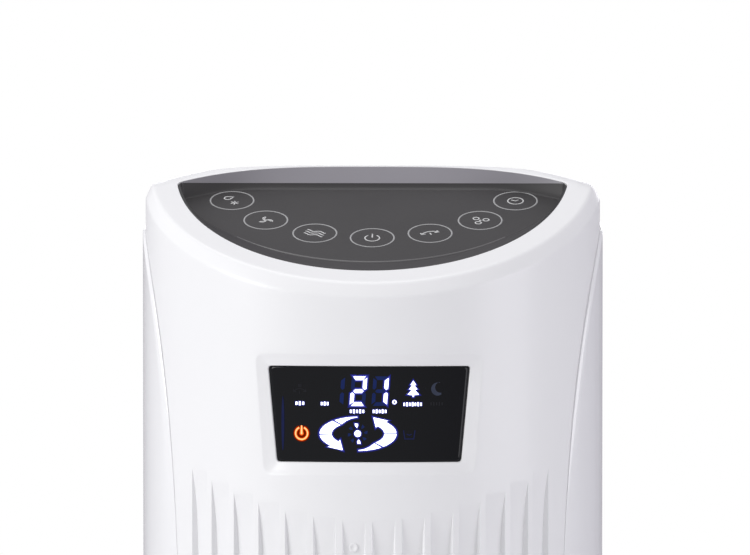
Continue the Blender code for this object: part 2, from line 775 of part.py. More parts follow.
def make_base():
    """Weighted round base with its cover, feet and the race that the column turns on."""
    turned("base_plate", [(0.0, 0.0070), (0.1615, 0.0070), (0.1615, 0.0040), (0.0, 0.0040)],
           "zinc_steel", 48, ring=False)
    turned("base_weight", [(0.145, 0.0190), (0.150, 0.0140), (0.150, 0.0073), (0.085, 0.0073),
                           (0.085, 0.0190)], "cast_iron", 48)
    cover = turned("base_cover", [
        (0.0685, BASE_TOP), (0.128, 0.0306), (0.150, 0.0268), (0.161, 0.0200),
        (BASE_RADIUS, 0.0120), (BASE_RADIUS, 0.0028), (0.1625, 0.0028), (0.1625, 0.0115),
        (0.1592, 0.0185), (0.1490, 0.0245), (0.1275, 0.0282), (0.0685, 0.0295)],
        "white_plastic", 64)
    port = cylinder("gland_cutter", (0.0, 0.0), 0.0056, -0.02, 0.02, sides=20)
    port.data.transform(Matrix.Rotation(math.radians(90.0), 4, "X"))
    port.location = GLAND_PLACE
    boolean(cover, port, "DIFFERENCE")
    make_gland()
    turned("bearing_race", [(0.031, 0.0280), (0.031, 0.0073), (0.0203, 0.0073),
                            (0.0203, 0.0280)], "acetal", 32)
    for number in range(4):
        turn = math.radians(45.0 + 90.0 * number)
        centre = (FOOT_CIRCLE * math.cos(turn), FOOT_CIRCLE * math.sin(turn))
        cylinder(f"rubber_foot_{number + 1}", centre, FOOT_RADIUS, 0.0, FOOT_HEIGHT, "rubber")


def make_gland():
    """Bushing in the base's back where the mains lead enters."""
    gland = turned("cord_gland", [(0.0052, 0.0095), (0.0052, -0.0045), (0.0034, -0.0045),
                                  (0.0034, 0.0095)], "rubber", 20)
    gland.rotation_euler = (math.radians(90.0), 0.0, 0.0)
    gland.location = GLAND_PLACE


def make_turntable():
    """Hub that turns on the race, and the column's floor plate on it."""
    hub = turned("swivel_hub", [(0.066, 0.0335), (0.066, 0.0285), (0.020, 0.0285),
                                (0.020, 0.0078), (0.008, 0.0078), (0.008, 0.0335)],
                 "grey_plastic", 40)
    port = cylinder("shaft_cutter", (0.0, PINION_Y), 0.0042, 0.020, 0.045, sides=16)
    boolean(hub, port, "DIFFERENCE")
    angles = [math.remainder(a, math.tau) for a in spread(-math.pi, math.pi, 49)[:-1]]
    outline = [plan_point(a, -WALL - 0.0015) for a in angles]
    plate("floor_plate", [outline, circle(0.008), circle(0.0042, (0.0, PINION_Y), 16)],
          0.0338, 0.0368, "grey_plastic")


def make_screws():
    """Screws up through the base plate and into the rear housing."""
    for number in range(4):
        turn = math.radians(90.0 * number)
        centre = (0.115 * math.cos(turn), 0.115 * math.sin(turn))
        turned(f"base_screw_{number + 1}", [(0.0, 0.0037), (0.0035, 0.0037), (0.0035, 0.0022),
                                            (0.0, 0.0022)], "zinc_steel", 16, centre, False)
    places = [(side * 0.1225, z) for z in (0.18, 0.94) for side in (-1, 1)]
    for number, (x, z) in enumerate(places, 1):
        past = math.acos((abs(x) / FRONT_RADIUS) ** (REAR_POWER / 2))
        angle = math.copysign(math.pi / 2 + past, x)
        near, far = plan_point(angle, GAP), plan_point(angle, GAP + 0.0012)
        screw = turned(f"rear_screw_{number}", [(0.0, 0.0010), (0.0025, 0.0010), (0.0035, 0.0),
                                                (0.0, 0.0)], "zinc_steel", 16, ring=False)
        outward = Vector((far[0] - near[0], far[1] - near[1], 0.0))
        screw.rotation_euler = outward.to_track_quat("Z", "Y").to_euler()
        screw.location = (*plan_point(angle, 2 * GAP), z)


# ---------------------------------------------------------------- joints

COLUMN = ("swivel_hub", "floor_plate", "swing_motor", "front_shell", "left_side_panel",
          "right_side_panel", "rear_housing", "control_panel", "touch_board", "display_window",
          "led_module", "display_board", "main_board", "ioniser", "outlet_guard", "scroll_wall",
          "cutoff_wall", "fan_motor", "motor_bracket", "top_bearing", "bearing_bracket",
          "cooling_pad", "pad_frame", "drip_tray", "sump_tray", "pump", "pump_hose",
          "rear_screw_1", "rear_screw_2", "rear_screw_3", "rear_screw_4")
MOVING = {
    "swing_axis": ((0.0, 0.0, 0.0), None, COLUMN),
    "impeller_axis": ((0.0, IMPELLER_Y, 0.0), "swing_axis", ("impeller",)),
    "pinion_axis": ((0.0, PINION_Y, 0.0), "swing_axis", ("swing_pinion",)),
    "tank_guide": ((0.0, 0.0, TANK_BAY_BOTTOM), "swing_axis",
                   ("water_tank", "tank_cover", "level_window", "tank_grip")),
    "filter_guide": ((0.0, 0.0, INTAKE_BOTTOM), "swing_axis", ("filter_frame", "dust_filter")),
}


def hang(child, parent, parent_place):
    """Parent an object without moving it."""
    child.parent = parent
    child.matrix_parent_inverse = Matrix.Translation(-Vector(parent_place))


def add_joints():
    """An empty on each joint's axis carries that joint's pieces."""
    guides = {}
    for name, (place, holder, pieces) in MOVING.items():
        guide = bpy.data.objects.new(name, None)
        guide.location = place
        FAN.objects.link(guide)
        guides[name] = guide
        if holder:
            hang(guide, guides[holder], MOVING[holder][0])
        for piece in pieces:
            hang(bpy.data.objects[piece], guide, place)


make_base()
make_swing_drive()
make_turntable()
make_front_shell()
make_side_panel("left_side_panel", -1)
make_side_panel("right_side_panel", 1)
make_rear_housing()
make_control_panel()
make_display()
make_impeller()
make_air_path()
make_drive()
make_tank()
make_filter()
make_boards()
make_screws()
add_joints()
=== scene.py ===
"""Looks of the humidifying tower fan: casing, touch panel, lit display, grilles and studio."""

import math
from contextlib import contextmanager

import bmesh
import bpy
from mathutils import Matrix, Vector


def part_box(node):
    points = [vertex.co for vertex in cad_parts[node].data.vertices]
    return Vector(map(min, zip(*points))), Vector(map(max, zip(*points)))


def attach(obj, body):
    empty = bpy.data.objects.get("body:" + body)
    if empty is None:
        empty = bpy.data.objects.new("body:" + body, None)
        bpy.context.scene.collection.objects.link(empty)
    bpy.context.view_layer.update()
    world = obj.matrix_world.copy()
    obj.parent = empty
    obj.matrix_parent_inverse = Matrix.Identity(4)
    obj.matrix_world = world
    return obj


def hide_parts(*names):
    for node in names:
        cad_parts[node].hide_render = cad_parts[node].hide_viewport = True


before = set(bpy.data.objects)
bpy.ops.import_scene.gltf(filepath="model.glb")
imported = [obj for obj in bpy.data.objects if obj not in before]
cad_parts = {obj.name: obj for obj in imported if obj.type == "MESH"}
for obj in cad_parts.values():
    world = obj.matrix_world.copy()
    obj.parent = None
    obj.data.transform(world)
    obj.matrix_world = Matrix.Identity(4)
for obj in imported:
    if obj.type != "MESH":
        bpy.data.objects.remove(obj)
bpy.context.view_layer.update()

# ---------------------------------------------------------------- sizes from the frame

MM = 0.001
SHELL_LOW, SHELL_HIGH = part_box("front_shell")
PANEL_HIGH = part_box("right_side_panel")[1]
RADIUS = SHELL_HIGH.x
REAR_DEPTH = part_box("rear_housing")[1].y
REAR_POWER = 4.0
BOTTOM = SHELL_LOW.z
SIDE_TOP = PANEL_HIGH.z
HEAD_JOIN = SIDE_TOP + 0.9 * MM
SIDE_PROUD = PANEL_HIGH.x - RADIUS
REAR_SPLIT = math.radians(118.0)

# Seam between the front shell and the side panels
SEAM_SWEEP = math.radians(35.5)
SEAM_DROP = 0.10
SEAM_POWER = 0.6

# Sloping top
RIM_SLOPE = 0.404
RIM_LEVEL = 1.055
ROOF_SLOPE = 0.14
RIDGE_Y = 10.2 * MM
RIDGE_DROP = 22.2 * MM
RIDGE_REACH = 0.1368
RIDGE_POWER = 4.5
BEVEL_OUT = 4 * MM
BEVEL_DOWN = 9 * MM
BEVEL_FALL = 7 * MM
BEVEL_IN = 4 * MM
RIM_BAND = 6 * MM

# Recess for the touch panel: a front arc, a flatter back edge and rounded corners
RECESS_RADIUS = 0.1235
RECESS_BACK_Y = 9 * MM
RECESS_BACK_DROP = 21.6 * MM
RECESS_BACK_REACH = 0.1239
RECESS_BACK_POWER = 3.2
RECESS_TIP_X = 0.1229
RECESS_CORNER = 4 * MM
FLOOR_LEVEL = 1.0443
FLOOR_SLOPE = 0.354

# Display window
WINDOW_BOTTOM = 0.8860
WINDOW_TOP = 0.9458
WINDOW_HALF_TOP = 66.4 * MM
WINDOW_HALF_BOTTOM = 60.2 * MM
WINDOW_BULGE = 1.2 * MM
WINDOW_CORNER = 2.4 * MM
BEZEL = 7.4 * MM
HOLE_TOP = 0.9655

# Outlet ribs and the ramps between them
RIB_COUNT = 15
RIB_PITCH = math.radians(7.4)
RIB_FACE = 2.0 * MM
RIB_DRAFT = 0.34
RAMP_DEPTH = 4.6 * MM
RAMP_LENGTH = 25 * MM
RAMP_TOP = 0.851
RAMP_RISE = 31 * MM
RAMP_REACH = 0.115
RAMP_BOTTOM = 0.285
SLOT_LOW = 0.325
SLOT_HIGH = 0.80
WALL = 2.2 * MM
PIN_X = 9.6 * MM
PIN_Z = 0.834


# ---------------------------------------------------------------- materials

def new_material(name, stretch=(1.0, 1.0, 1.0), **inputs):
    """A material, its tree and Principled shader, and object coordinates to drive noises."""
    material = bpy.data.materials.new(name)
    material.use_nodes = True
    tree = material.node_tree
    shader = next(node for node in tree.nodes if node.type == "BSDF_PRINCIPLED")
    for key, value in inputs.items():
        shader.inputs[key.replace("_", " ")].default_value = value
    coordinates = tree.nodes.new("ShaderNodeTexCoord")
    mapping = add_node(tree, "ShaderNodeMapping", Scale=stretch)
    tree.links.new(coordinates.outputs["Object"], mapping.inputs["Vector"])
    return material, tree, shader, mapping.outputs["Vector"]


def add_node(tree, kind, **values):
    """A node with its sockets or settings set by name."""
    node = tree.nodes.new(kind)
    for key, value in values.items():
        socket = key.replace("_", " ")
        if socket in node.inputs:
            node.inputs[socket].default_value = value
        else:
            setattr(node, key, value)
    return node


def noise(tree, vector, scale, detail=3.0):
    """A noise texture's value."""
    node = add_node(tree, "ShaderNodeTexNoise", Scale=scale, Detail=detail, Roughness=0.55)
    tree.links.new(vector, node.inputs["Vector"])
    return node.outputs["Fac"]


def remap(tree, value, low, high, start=0.3, end=0.7):
    """A value stretched smoothly to a range."""
    node = add_node(tree, "ShaderNodeMapRange", interpolation_type="SMOOTHSTEP",
                    From_Min=start, From_Max=end, To_Min=low, To_Max=high)
    tree.links.new(value, node.inputs["Value"])
    return node.outputs["Result"]


def blend_colours(tree, factor, first, second):
    """A mix of two colours by a value."""
    node = tree.nodes.new("ShaderNodeMix")
    node.data_type = "RGBA"
    node.inputs[6].default_value = (*first, 1.0)
    node.inputs[7].default_value = (*second, 1.0)
    tree.links.new(factor, node.inputs[0])
    return node.outputs[2]


def bump(tree, shader, height, strength, distance):
    """A bump on a shader's normal."""
    node = add_node(tree, "ShaderNodeBump", Strength=strength, Distance=distance)
    tree.links.new(height, node.inputs["Height"])
    tree.links.new(node.outputs["Normal"], shader.inputs["Normal"])


def plastic(name, colour, roughness, grain=900.0, grain_depth=0.02, spread=0.06, shade=0.03,
            coat=0.0, specular=0.5):
    """Moulded plastic: fine grain, slow changes of shade and gloss."""
    material, tree, shader, vector = new_material(
        name, Specular_IOR_Level=specular, Coat_Weight=coat, Coat_Roughness=0.08)
    slow = noise(tree, vector, 14.0)
    fine = noise(tree, vector, grain, 2.0)
    darker = tuple(channel * (1.0 - shade) for channel in colour)
    tint = blend_colours(tree, remap(tree, slow, 0.0, 1.0), colour, darker)
    tree.links.new(tint, shader.inputs["Base Color"])
    gloss = remap(tree, slow, roughness - spread / 2, roughness + spread / 2)
    tree.links.new(gloss, shader.inputs["Roughness"])
    bump(tree, shader, fine, grain_depth, 0.05 * MM)
    return material


def metal(name, colour, roughness, stretch=(1.0, 1.0, 12.0)):
    """Metal with drawn or turned marks."""
    material, tree, shader, vector = new_material(name, stretch, Metallic=1.0)
    marks = noise(tree, vector, 220.0, 4.0)
    darker = tuple(channel * 0.8 for channel in colour)
    tint = blend_colours(tree, remap(tree, marks, 0.0, 1.0), colour, darker)
    tree.links.new(tint, shader.inputs["Base Color"])
    gloss = remap(tree, marks, roughness - 0.08, roughness + 0.08)
    tree.links.new(gloss, shader.inputs["Roughness"])
    bump(tree, shader, marks, 0.08, 0.05 * MM)
    return material


def circuit_board():
    """Solder mask over copper tracks."""
    material, tree, shader, vector = new_material("circuit_board", Roughness=0.35)
    cells = add_node(tree, "ShaderNodeTexBrick", Scale=120.0, Color1=(0.03, 0.20, 0.08, 1.0),
                     Color2=(0.04, 0.26, 0.11, 1.0), Mortar=(0.02, 0.12, 0.05, 1.0))
    tree.links.new(vector, cells.inputs["Vector"])
    tree.links.new(cells.outputs["Color"], shader.inputs["Base Color"])
    bump(tree, shader, cells.outputs["Fac"], 0.1, 0.1 * MM)
    return material


def cooling_paper():
    """Corrugated brown paper of the evaporative pad."""
    material, tree, shader, vector = new_material("cooling_paper", Roughness=0.9)
    waves = add_node(tree, "ShaderNodeTexWave", Scale=45.0, Distortion=3.0)
    tree.links.new(vector, waves.inputs["Vector"])
    tint = blend_colours(tree, waves.outputs["Fac"], (0.20, 0.13, 0.07), (0.50, 0.37, 0.22))
    tree.links.new(tint, shader.inputs["Base Color"])
    bump(tree, shader, waves.outputs["Fac"], 0.8, 2 * MM)
    return material


def filter_mesh():
    """Fine dark woven mesh."""
    material, tree, shader, vector = new_material("filter_mesh", Roughness=0.8)
    heights = []
    for direction in ("X", "Z"):
        waves = add_node(tree, "ShaderNodeTexWave", Scale=260.0, bands_direction=direction)
        tree.links.new(vector, waves.inputs["Vector"])
        heights.append(waves.outputs["Fac"])
    weave = add_node(tree, "ShaderNodeMath", operation="MAXIMUM")
    tree.links.new(heights[0], weave.inputs[0])
    tree.links.new(heights[1], weave.inputs[1])
    tint = blend_colours(tree, weave.outputs[0], (0.02, 0.02, 0.022), (0.16, 0.16, 0.17))
    tree.links.new(tint, shader.inputs["Base Color"])
    bump(tree, shader, weave.outputs[0], 0.8, 0.4 * MM)
    return material


def glow(name, colour, strength):
    """A lit graphic with a slightly uneven brightness."""
    material, tree, shader, vector = new_material(
        name, Base_Color=(0.0, 0.0, 0.0, 1.0), Roughness=0.5, Specular_IOR_Level=0.0,
        Emission_Strength=strength)
    uneven = remap(tree, noise(tree, vector, 160.0), 0.9, 1.0)
    tint = blend_colours(tree, uneven, (0.0, 0.0, 0.0), colour)
    tree.links.new(tint, shader.inputs["Emission Color"])
    return material


def clear_tank():
    """Frosted blue-white translucent plastic."""
    material, tree, shader, vector = new_material("clear_tank", Transmission_Weight=0.55, IOR=1.45)
    cloud = noise(tree, vector, 30.0)
    tint = blend_colours(tree, remap(tree, cloud, 0.0, 1.0), (0.78, 0.86, 0.92), (0.68, 0.78, 0.86))
    tree.links.new(tint, shader.inputs["Base Color"])
    tree.links.new(remap(tree, cloud, 0.18, 0.30), shader.inputs["Roughness"])
    return material


WHITE = plastic("white_plastic", (0.84, 0.84, 0.86), 0.36, 1400.0, 0.015, spread=0.02, shade=0.008,
                coat=0.12)
SIDE_WHITE = plastic("side_white", (0.84, 0.84, 0.865), 0.20, 1400.0, 0.01, spread=0.02,
                     shade=0.008, coat=0.5)
DARK = plastic("dark_panel", (0.046, 0.044, 0.046), 0.42, 2200.0, 0.05, shade=0.05,
               specular=0.28)
LENS = plastic("smoked_lens", (0.003, 0.0033, 0.005), 0.07, 300.0, 0.0, spread=0.02,
               specular=0.22)
BLACK = plastic("black_plastic", (0.022, 0.022, 0.024), 0.45, 1100.0, 0.08)
GREY = plastic("grey_plastic", (0.36, 0.37, 0.39), 0.42, 1100.0, 0.06)
NATURAL = plastic("natural_acetal", (0.80, 0.78, 0.72), 0.38, 900.0, 0.04)
RUBBER = plastic("rubber", (0.022, 0.022, 0.022), 0.75, 1600.0, 0.25)
STEEL = metal("zinc_steel", (0.62, 0.63, 0.65), 0.32)
IRON = metal("painted_iron", (0.16, 0.16, 0.17), 0.6, (1.0, 1.0, 1.0))
BRONZE = metal("sintered_bronze", (0.58, 0.40, 0.20), 0.4)
BOARD = circuit_board()
PAPER = cooling_paper()
MESH = filter_mesh()
RING = plastic("key_ring_print", (0.38, 0.38, 0.39), 0.5, 800.0, 0.02)
PRINT = plastic("key_icon_print", (0.62, 0.62, 0.63), 0.5, 800.0, 0.02)
# painted reflection: a lighter grey for the touch panel's back wall, standing in for its sheen
WALL_PAINTED_SHEEN = plastic("panel_wall", (0.27, 0.26, 0.29), 0.34, 2200.0, 0.05, shade=0.06)
# painted highlight: a paler dark grey for the crest of the panel's front step
PAINTED_CREST_HIGHLIGHT = plastic("panel_crest", (0.105, 0.102, 0.107), 0.34, 2200.0, 0.05, shade=0.05)
CELL_LINE = glow("cell_line", (0.42, 0.42, 0.62), 1.0)
LIT = glow("lit_white", (0.92, 0.95, 1.0), 3.2)
HALO = glow("blue_halo", (0.10, 0.11, 0.62), 1.0)
HALO_FAR = glow("blue_glow", (0.018, 0.020, 0.17), 1.0)
DIM = glow("dim_blue", (0.035, 0.06, 0.26), 0.40)
DIM_GREY = glow("dim_grey", (0.06, 0.07, 0.11), 0.7)
DIM_FAINT = glow("dim_navy", (0.022, 0.028, 0.10), 0.7)
FAINT = glow("faint_grey", (0.035, 0.035, 0.042), 0.6)
ORANGE = glow("lit_orange", (1.0, 0.13, 0.01), 1.1)
AMBER = glow("lit_amber", (1.0, 0.55, 0.22), 1.5)
ORANGE_HALO = glow("orange_halo", (0.45, 0.02, 0.0), 0.35)

TANK = clear_tank()


# ---------------------------------------------------------------- building helpers

def paint(obj, material):
    """Give an object one material."""
    obj.data.materials.clear()
    obj.data.materials.append(material)


@contextmanager
def editing(obj):
    """A bmesh of an object's mesh, written back at the end."""
    work = bmesh.new()
    work.from_mesh(obj.data)
    yield work
    work.to_mesh(obj.data)
    work.free()


def make_object(name, vertices, faces, material, body, sharp=32.0):
    """A smooth mesh piece that rides on a body."""
    mesh = bpy.data.meshes.new(name)
    mesh.from_pydata(vertices, [], faces)
    obj = bpy.data.objects.new(name, mesh)
    with editing(obj) as work:
        bmesh.ops.remove_doubles(work, verts=work.verts, dist=1e-6)
    mesh.shade_smooth()
    mesh.set_sharp_from_angle(angle=math.radians(sharp))
    bpy.context.scene.collection.objects.link(obj)
    paint(obj, material)
    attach(obj, body)
    return obj


class Builder:
    """Collects lofted rows as vertices and faces."""

    def __init__(self):
        self.vertices = []
        self.faces = []

    def row(self, points):
        """Add one row and return its vertex numbers."""
        start = len(self.vertices)
        self.vertices.extend(tuple(point) for point in points)
        return list(range(start, len(self.vertices)))

    def loft(self, rows, closed=False, skip=None):
        """Faces between rows, top row first and left to right."""
        rings = [self.row(points) for points in rows]
        for level, (upper, lower) in enumerate(zip(rings, rings[1:])):
            count = len(upper) if closed else len(upper) - 1
            for index in range(count):
                if skip and skip(level, index):
                    continue
                after = (index + 1) % len(upper)
                self.faces.append((upper[index], lower[index], lower[after], upper[after]))
        return rings


def thicken(obj, thickness):
    """Give an open surface a wall on its back."""
    wall = obj.modifiers.new("wall", "SOLIDIFY")
    wall.thickness = thickness
    wall.offset = -1.0


def bevel(obj, width, angle):
    """Round the edges that are sharper than an angle."""
    rounding = obj.modifiers.new("rounded", "BEVEL")
    rounding.width = width
    rounding.segments = 2
    rounding.limit_method = "ANGLE"
    rounding.angle_limit = math.radians(angle)
    rounding.harden_normals = True


def spread(first, last, count):
    """Evenly spaced values, ends included."""
    return [first + (last - first) * index / (count - 1) for index in range(count)]


def mix(first, second, share):
    """Straight mix of two numbers."""
    return first + (second - first) * share


def ease(value):
    """Smooth step from 0 to 1."""
    value = min(max(value, 0.0), 1.0)
    return value * value * (3.0 - 2.0 * value)


# ---------------------------------------------------------------- shape of the casing

def plan_point(angle, grow=0.0):
    """A point on the casing's plan outline at an angle from the front."""
    turn = abs(angle)
    if turn <= math.pi / 2:
        x, y = (RADIUS + grow) * math.sin(turn), -(RADIUS + grow) * math.cos(turn)
    else:
        past = turn - math.pi / 2
        x = (RADIUS + grow) * max(math.cos(past), 0.0) ** (2 / REAR_POWER)
        y = (REAR_DEPTH + grow) * math.sin(past) ** (2 / REAR_POWER)
    return math.copysign(x, angle), y


def seam_angle(height):
    """Angle of the seam between the front shell and a side panel."""
    drop = max(HEAD_JOIN - 0.5 * MM - height, 0.0)
    return math.pi / 2 - SEAM_SWEEP * (1.0 - math.exp(-drop / SEAM_DROP)) ** SEAM_POWER


def back_edge(x):
    """Place along Y of the recess's back edge."""
    share = abs(x) / RECESS_BACK_REACH
    return RECESS_BACK_Y - RECESS_BACK_DROP * share ** RECESS_BACK_POWER


def back_slope(x):
    """Slope of the recess's back edge."""
    return (back_edge(x + 1e-5) - back_edge(x - 1e-5)) / 2e-5


def ridge_line(x):
    """Place along Y of the ridge behind the recess."""
    return RIDGE_Y - RIDGE_DROP * (abs(x) / RIDGE_REACH) ** RIDGE_POWER


def rim_height(y):
    """Height of the sloping rim plane."""
    return RIM_LEVEL + RIM_SLOPE * y


def floor_height(y):
    """Height of the touch panel's sloping floor."""
    return FLOOR_LEVEL + FLOOR_SLOPE * y


def smooth_min(first, second, width):
    """The smaller of two values, rounded where they meet."""
    near = max(width - abs(first - second), 0.0) / width
    return min(first, second) - near * near * width / 4


def top_height(x, y):
    """Height of the sloping top, with a rounded ridge that softens towards the sides."""
    ridge = ridge_line(x)
    rim, roof = rim_height(y), rim_height(ridge) - ROOF_SLOPE * (y - ridge)
    soft = mix(0.8, 5.0, ease((abs(x) - 0.095) / 0.03)) * MM
    return smooth_min(rim, roof, soft)


def fillet(points, radii, steps):
    """A polyline of (out, up) points with every corner between its ends rounded."""
    result = [Vector(points[0])]
    for before, here, after, radius in zip(points, points[1:], points[2:], radii):
        corner, back, ahead = Vector(here), Vector(before), Vector(after)
        inward, outward = (back - corner).normalized(), (ahead - corner).normalized()
        half = inward.angle(outward) / 2
        reach = min(radius / math.tan(half), (back - corner).length * 0.48,
                    (ahead - corner).length * 0.48)
        start, end = corner + inward * reach, corner + outward * reach
        for step in range(steps + 1):
            share = step / steps
            first = start.lerp(corner, share)
            result.append(first.lerp(corner.lerp(end, share), share))
    result.append(Vector(points[-1]))
    return result


CORNER_TIP = Vector((RECESS_TIP_X, back_edge(RECESS_TIP_X)))
CORNER_START = math.atan2(CORNER_TIP.x, -CORNER_TIP.y) - RECESS_CORNER / RECESS_RADIUS
CORNER_BACK_X = RECESS_TIP_X - 0.9 * RECESS_CORNER


def recess_point(place, inset=0.0):
    """A point on the recess's outline; place names the part of it and where along that part."""
    part, where = place
    if part == "front":
        point = Vector((math.sin(where), -math.cos(where))) * RECESS_RADIUS
        inward = -point.normalized()
    elif part == "back":
        point = Vector((where, back_edge(where)))
        inward = Vector((back_slope(where), -1.0)).normalized()
    else:
        start = Vector((math.sin(CORNER_START), -math.cos(CORNER_START))) * RECESS_RADIUS
        end = Vector((CORNER_BACK_X, back_edge(CORNER_BACK_X)))
        first, second = start.lerp(CORNER_TIP, where), CORNER_TIP.lerp(end, where)
        point, along = first.lerp(second, where), second - first
        inward = Vector((-along.y, along.x)).normalized()
        if part == "left":
            point.x, inward.x = -point.x, -inward.x
    moved = point + inward * inset
    return moved.x, moved.y


# ---------------------------------------------------------------- front shell

CORE = RIB_COUNT // 2 * RIB_PITCH + math.radians(1.9)
SIDE_COLUMNS = 16
REAR_COLUMNS = 56
CORNER_COLUMNS = 10
REAR_START = math.radians(112.0)


def ramp_top(x):
    """Height at which the ramp between two ribs starts."""
    return RAMP_TOP + RAMP_RISE * min((x / RAMP_REACH) ** 2, 1.15)


def ramp_depth(angle, height):
    """Depth of the ramp floor below the casing's surface."""
    run = min(ramp_top(RADIUS * math.sin(angle)) - height, height - RAMP_BOTTOM)
    return RAMP_DEPTH * (1.0 - math.exp(-run / RAMP_LENGTH)) if run > 0 else 0.0


def core_columns():
    """Columns of the ribbed wall: (rib angle, side, kind) with three kinds of line."""
    columns = [(-CORE, 0, "plain")]
    for rib in range(RIB_COUNT):
        middle = (rib - RIB_COUNT // 2) * RIB_PITCH
        if rib:
            columns += [(middle - RIB_PITCH / 2, share, "floor") for share in (-0.5, 0.0, 0.5)]
        first, last = rib == 0, rib == RIB_COUNT - 1
        columns += [] if first else [(middle, -1, "foot")]
        columns += [(middle, side, "edge") for side in (-1, -0.5, 0, 0.5, 1)]
        columns += [] if last else [(middle, 1, "foot")]
    columns.append((CORE, 0, "plain"))
    return columns


COLUMNS = core_columns()


def column_place(column, height):
    """Angle and depth of a core column at a height."""
    middle, side, kind = column
    if kind == "plain":
        return middle, 0.0
    if kind == "edge":
        return middle + side * RIB_FACE / RADIUS, 0.0
    if kind == "foot":
        valley = middle + side * RIB_PITCH / 2
        depth = ramp_depth(valley, height)
        return middle + side * (RIB_FACE + RIB_DRAFT * depth) / RADIUS, depth
    depth = ramp_depth(middle, height)
    room = RIB_PITCH / 2 - (RIB_FACE + RIB_DRAFT * depth) / RADIUS
    return middle + side * room, depth


def wall_point(angle, height, depth=0.0):
    """A point on the casing's wall."""
    x, y = plan_point(angle, -depth)
    return x, y, height


def crease_height(angle):
    """Height where the wall ends and the bevel starts."""
    return top_height(*plan_point(angle, -BEVEL_OUT)) - BEVEL_DOWN - BEVEL_FALL


def column_angle(column):
    """Angle of a core column where the ribs are flush with the wall."""
    return column_place(column, 2.0)[0]


def front_row(height_at):
    """One row across the front; height_at gives each column's height from its angle."""
    sides = {}
    edge = seam_angle(height_at(math.pi / 2))
    for side in (-1, 1):
        sides[side] = []
        for step in range(1, SIDE_COLUMNS + 1):
            share = step / SIDE_COLUMNS
            height = height_at(side * mix(CORE, math.pi / 2, share))
            sides[side].append(wall_point(side * mix(CORE, edge, share), height))
    core = []
    for column in COLUMNS:
        height = height_at(column_angle(column))
        angle, depth = column_place(column, height)
        core.append(wall_point(angle, height, depth))
    return sides[-1][::-1] + core + sides[1]


def ramp_start(angle):
    """Height where the ramps start at a plan angle."""
    return ramp_top(RADIUS * math.sin(min(abs(angle), CORE)))


def hole_bottom(angle):
    """The row just below the window's bezel, parallel to the ramps' tops."""
    return ramp_start(angle) + 12 * MM


def front_rows():
    """Heights of the rows below the crease, as functions of the plan angle."""
    rows = [crease_height]
    side_crease = crease_height(math.pi / 2)

    def between(share):
        return lambda angle: mix(crease_height(angle), HOLE_TOP, share)

    for height in (1.0195, 1.018, 1.015, 1.010, 1.003, 0.994, 0.984, 0.974):
        rows.append(between((side_crease - height) / (side_crease - HOLE_TOP)))
    rows.append(lambda angle: HOLE_TOP)
    hole_start = len(rows) - 1
    for step in range(1, 25):
        rows.append(lambda angle, share=step / 24: mix(HOLE_TOP, hole_bottom(angle), share))
    hole_end = len(rows) - 1
    for drop in (9.0, 6.0, 3.0, 1.0, 0.0, -1.5, -3.5, -6.0, -9.0, -13.0, -18.0, -24.0, -31.0):
        rows.append(lambda angle, drop=drop: ramp_start(angle) + drop * MM)
    slot_rows = []
    for height in (0.812, SLOT_HIGH, 0.72, 0.62, 0.52, 0.42, SLOT_LOW):
        rows.append(lambda angle, height=height: height)
        if SLOT_LOW <= height <= SLOT_HIGH:
            slot_rows.append(len(rows) - 1)
    for height in (0.318, 0.310, 0.303, 0.297, 0.292, 0.288, RAMP_BOTTOM, 0.275, 0.16,
                   BOTTOM + 4 * MM, BOTTOM):
        rows.append(lambda angle, height=height: height)
    return rows, hole_start, hole_end, slot_rows


def window_outline(margin, per_side, per_end):
    """Window outline moved outwards, clockwise from the top left, with rounded corners."""
    corner = WINDOW_CORNER + max(margin, 0.0) * 0.5
    top, bottom = WINDOW_HALF_TOP + margin, WINDOW_HALF_BOTTOM + margin
    low, high = WINDOW_BOTTOM - margin, WINDOW_TOP + margin
    corners = [Vector((-top, high)), Vector((top, high)), Vector((bottom, low)),
               Vector((-bottom, low))]
    points = []
    arc_steps = 5
    for index in range(4):
        before, here, after = corners[index - 1], corners[index], corners[(index + 1) % 4]
        further = corners[(index + 2) % 4]
        count = per_side if index % 2 == 0 else per_end
        start = here + (after - here).normalized() * corner
        end = after - (after - here).normalized() * corner
        turn_in = here + (before - here).normalized() * corner
        turn_out = after + (further - after).normalized() * corner
        for step in range(count):
            if step < arc_steps:
                share = 0.5 + 0.5 * step / arc_steps
                first, second = turn_in.lerp(here, share), here.lerp(start, share)
                points.append(first.lerp(second, share))
            elif step > count - arc_steps:
                share = 0.5 * (step - (count - arc_steps)) / arc_steps
                first, second = end.lerp(after, share), after.lerp(turn_out, share)
                points.append(first.lerp(second, share))
            else:
                share = (step - arc_steps) / (count - 2 * arc_steps)
                points.append(start.lerp(end, share))
    return points


def make_front_shell():
    """Head, rim, roof, window bezel and ribbed outlet as one moulding."""
    build = Builder()
    rows, hole_start, hole_end, slot_rows = front_rows()
    first_core = SIDE_COLUMNS
    left = first_core + next(i for i, c in enumerate(COLUMNS)
                             if c[2] == "floor" and c[1] == 0.0 and c[0] > -RIB_PITCH * 4.6)
    right = 2 * first_core + len(COLUMNS) - 1 - left
    open_floor = set()
    for index, column in enumerate(COLUMNS[:-1]):
        if column[2] in ("foot", "floor") and COLUMNS[index + 1][2] in ("foot", "floor"):
            open_floor.add(first_core + index)

    def skip(level, index):
        in_hole = hole_start <= level < hole_end and left <= index < right
        in_slot = slot_rows[0] <= level < slot_rows[-1] and index in open_floor
        return in_hole or in_slot

    points = [front_row(height_at) for height_at in rows]
    rings = build.loft(points, skip=skip)
    make_bezel(build, rings, hole_start, hole_end, left, right)
    make_head(build)
    shell = make_object("front_shell_skin", build.vertices, build.faces, WHITE, "column", 26.0)
    thicken(shell, WALL)
    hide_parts("front_shell")


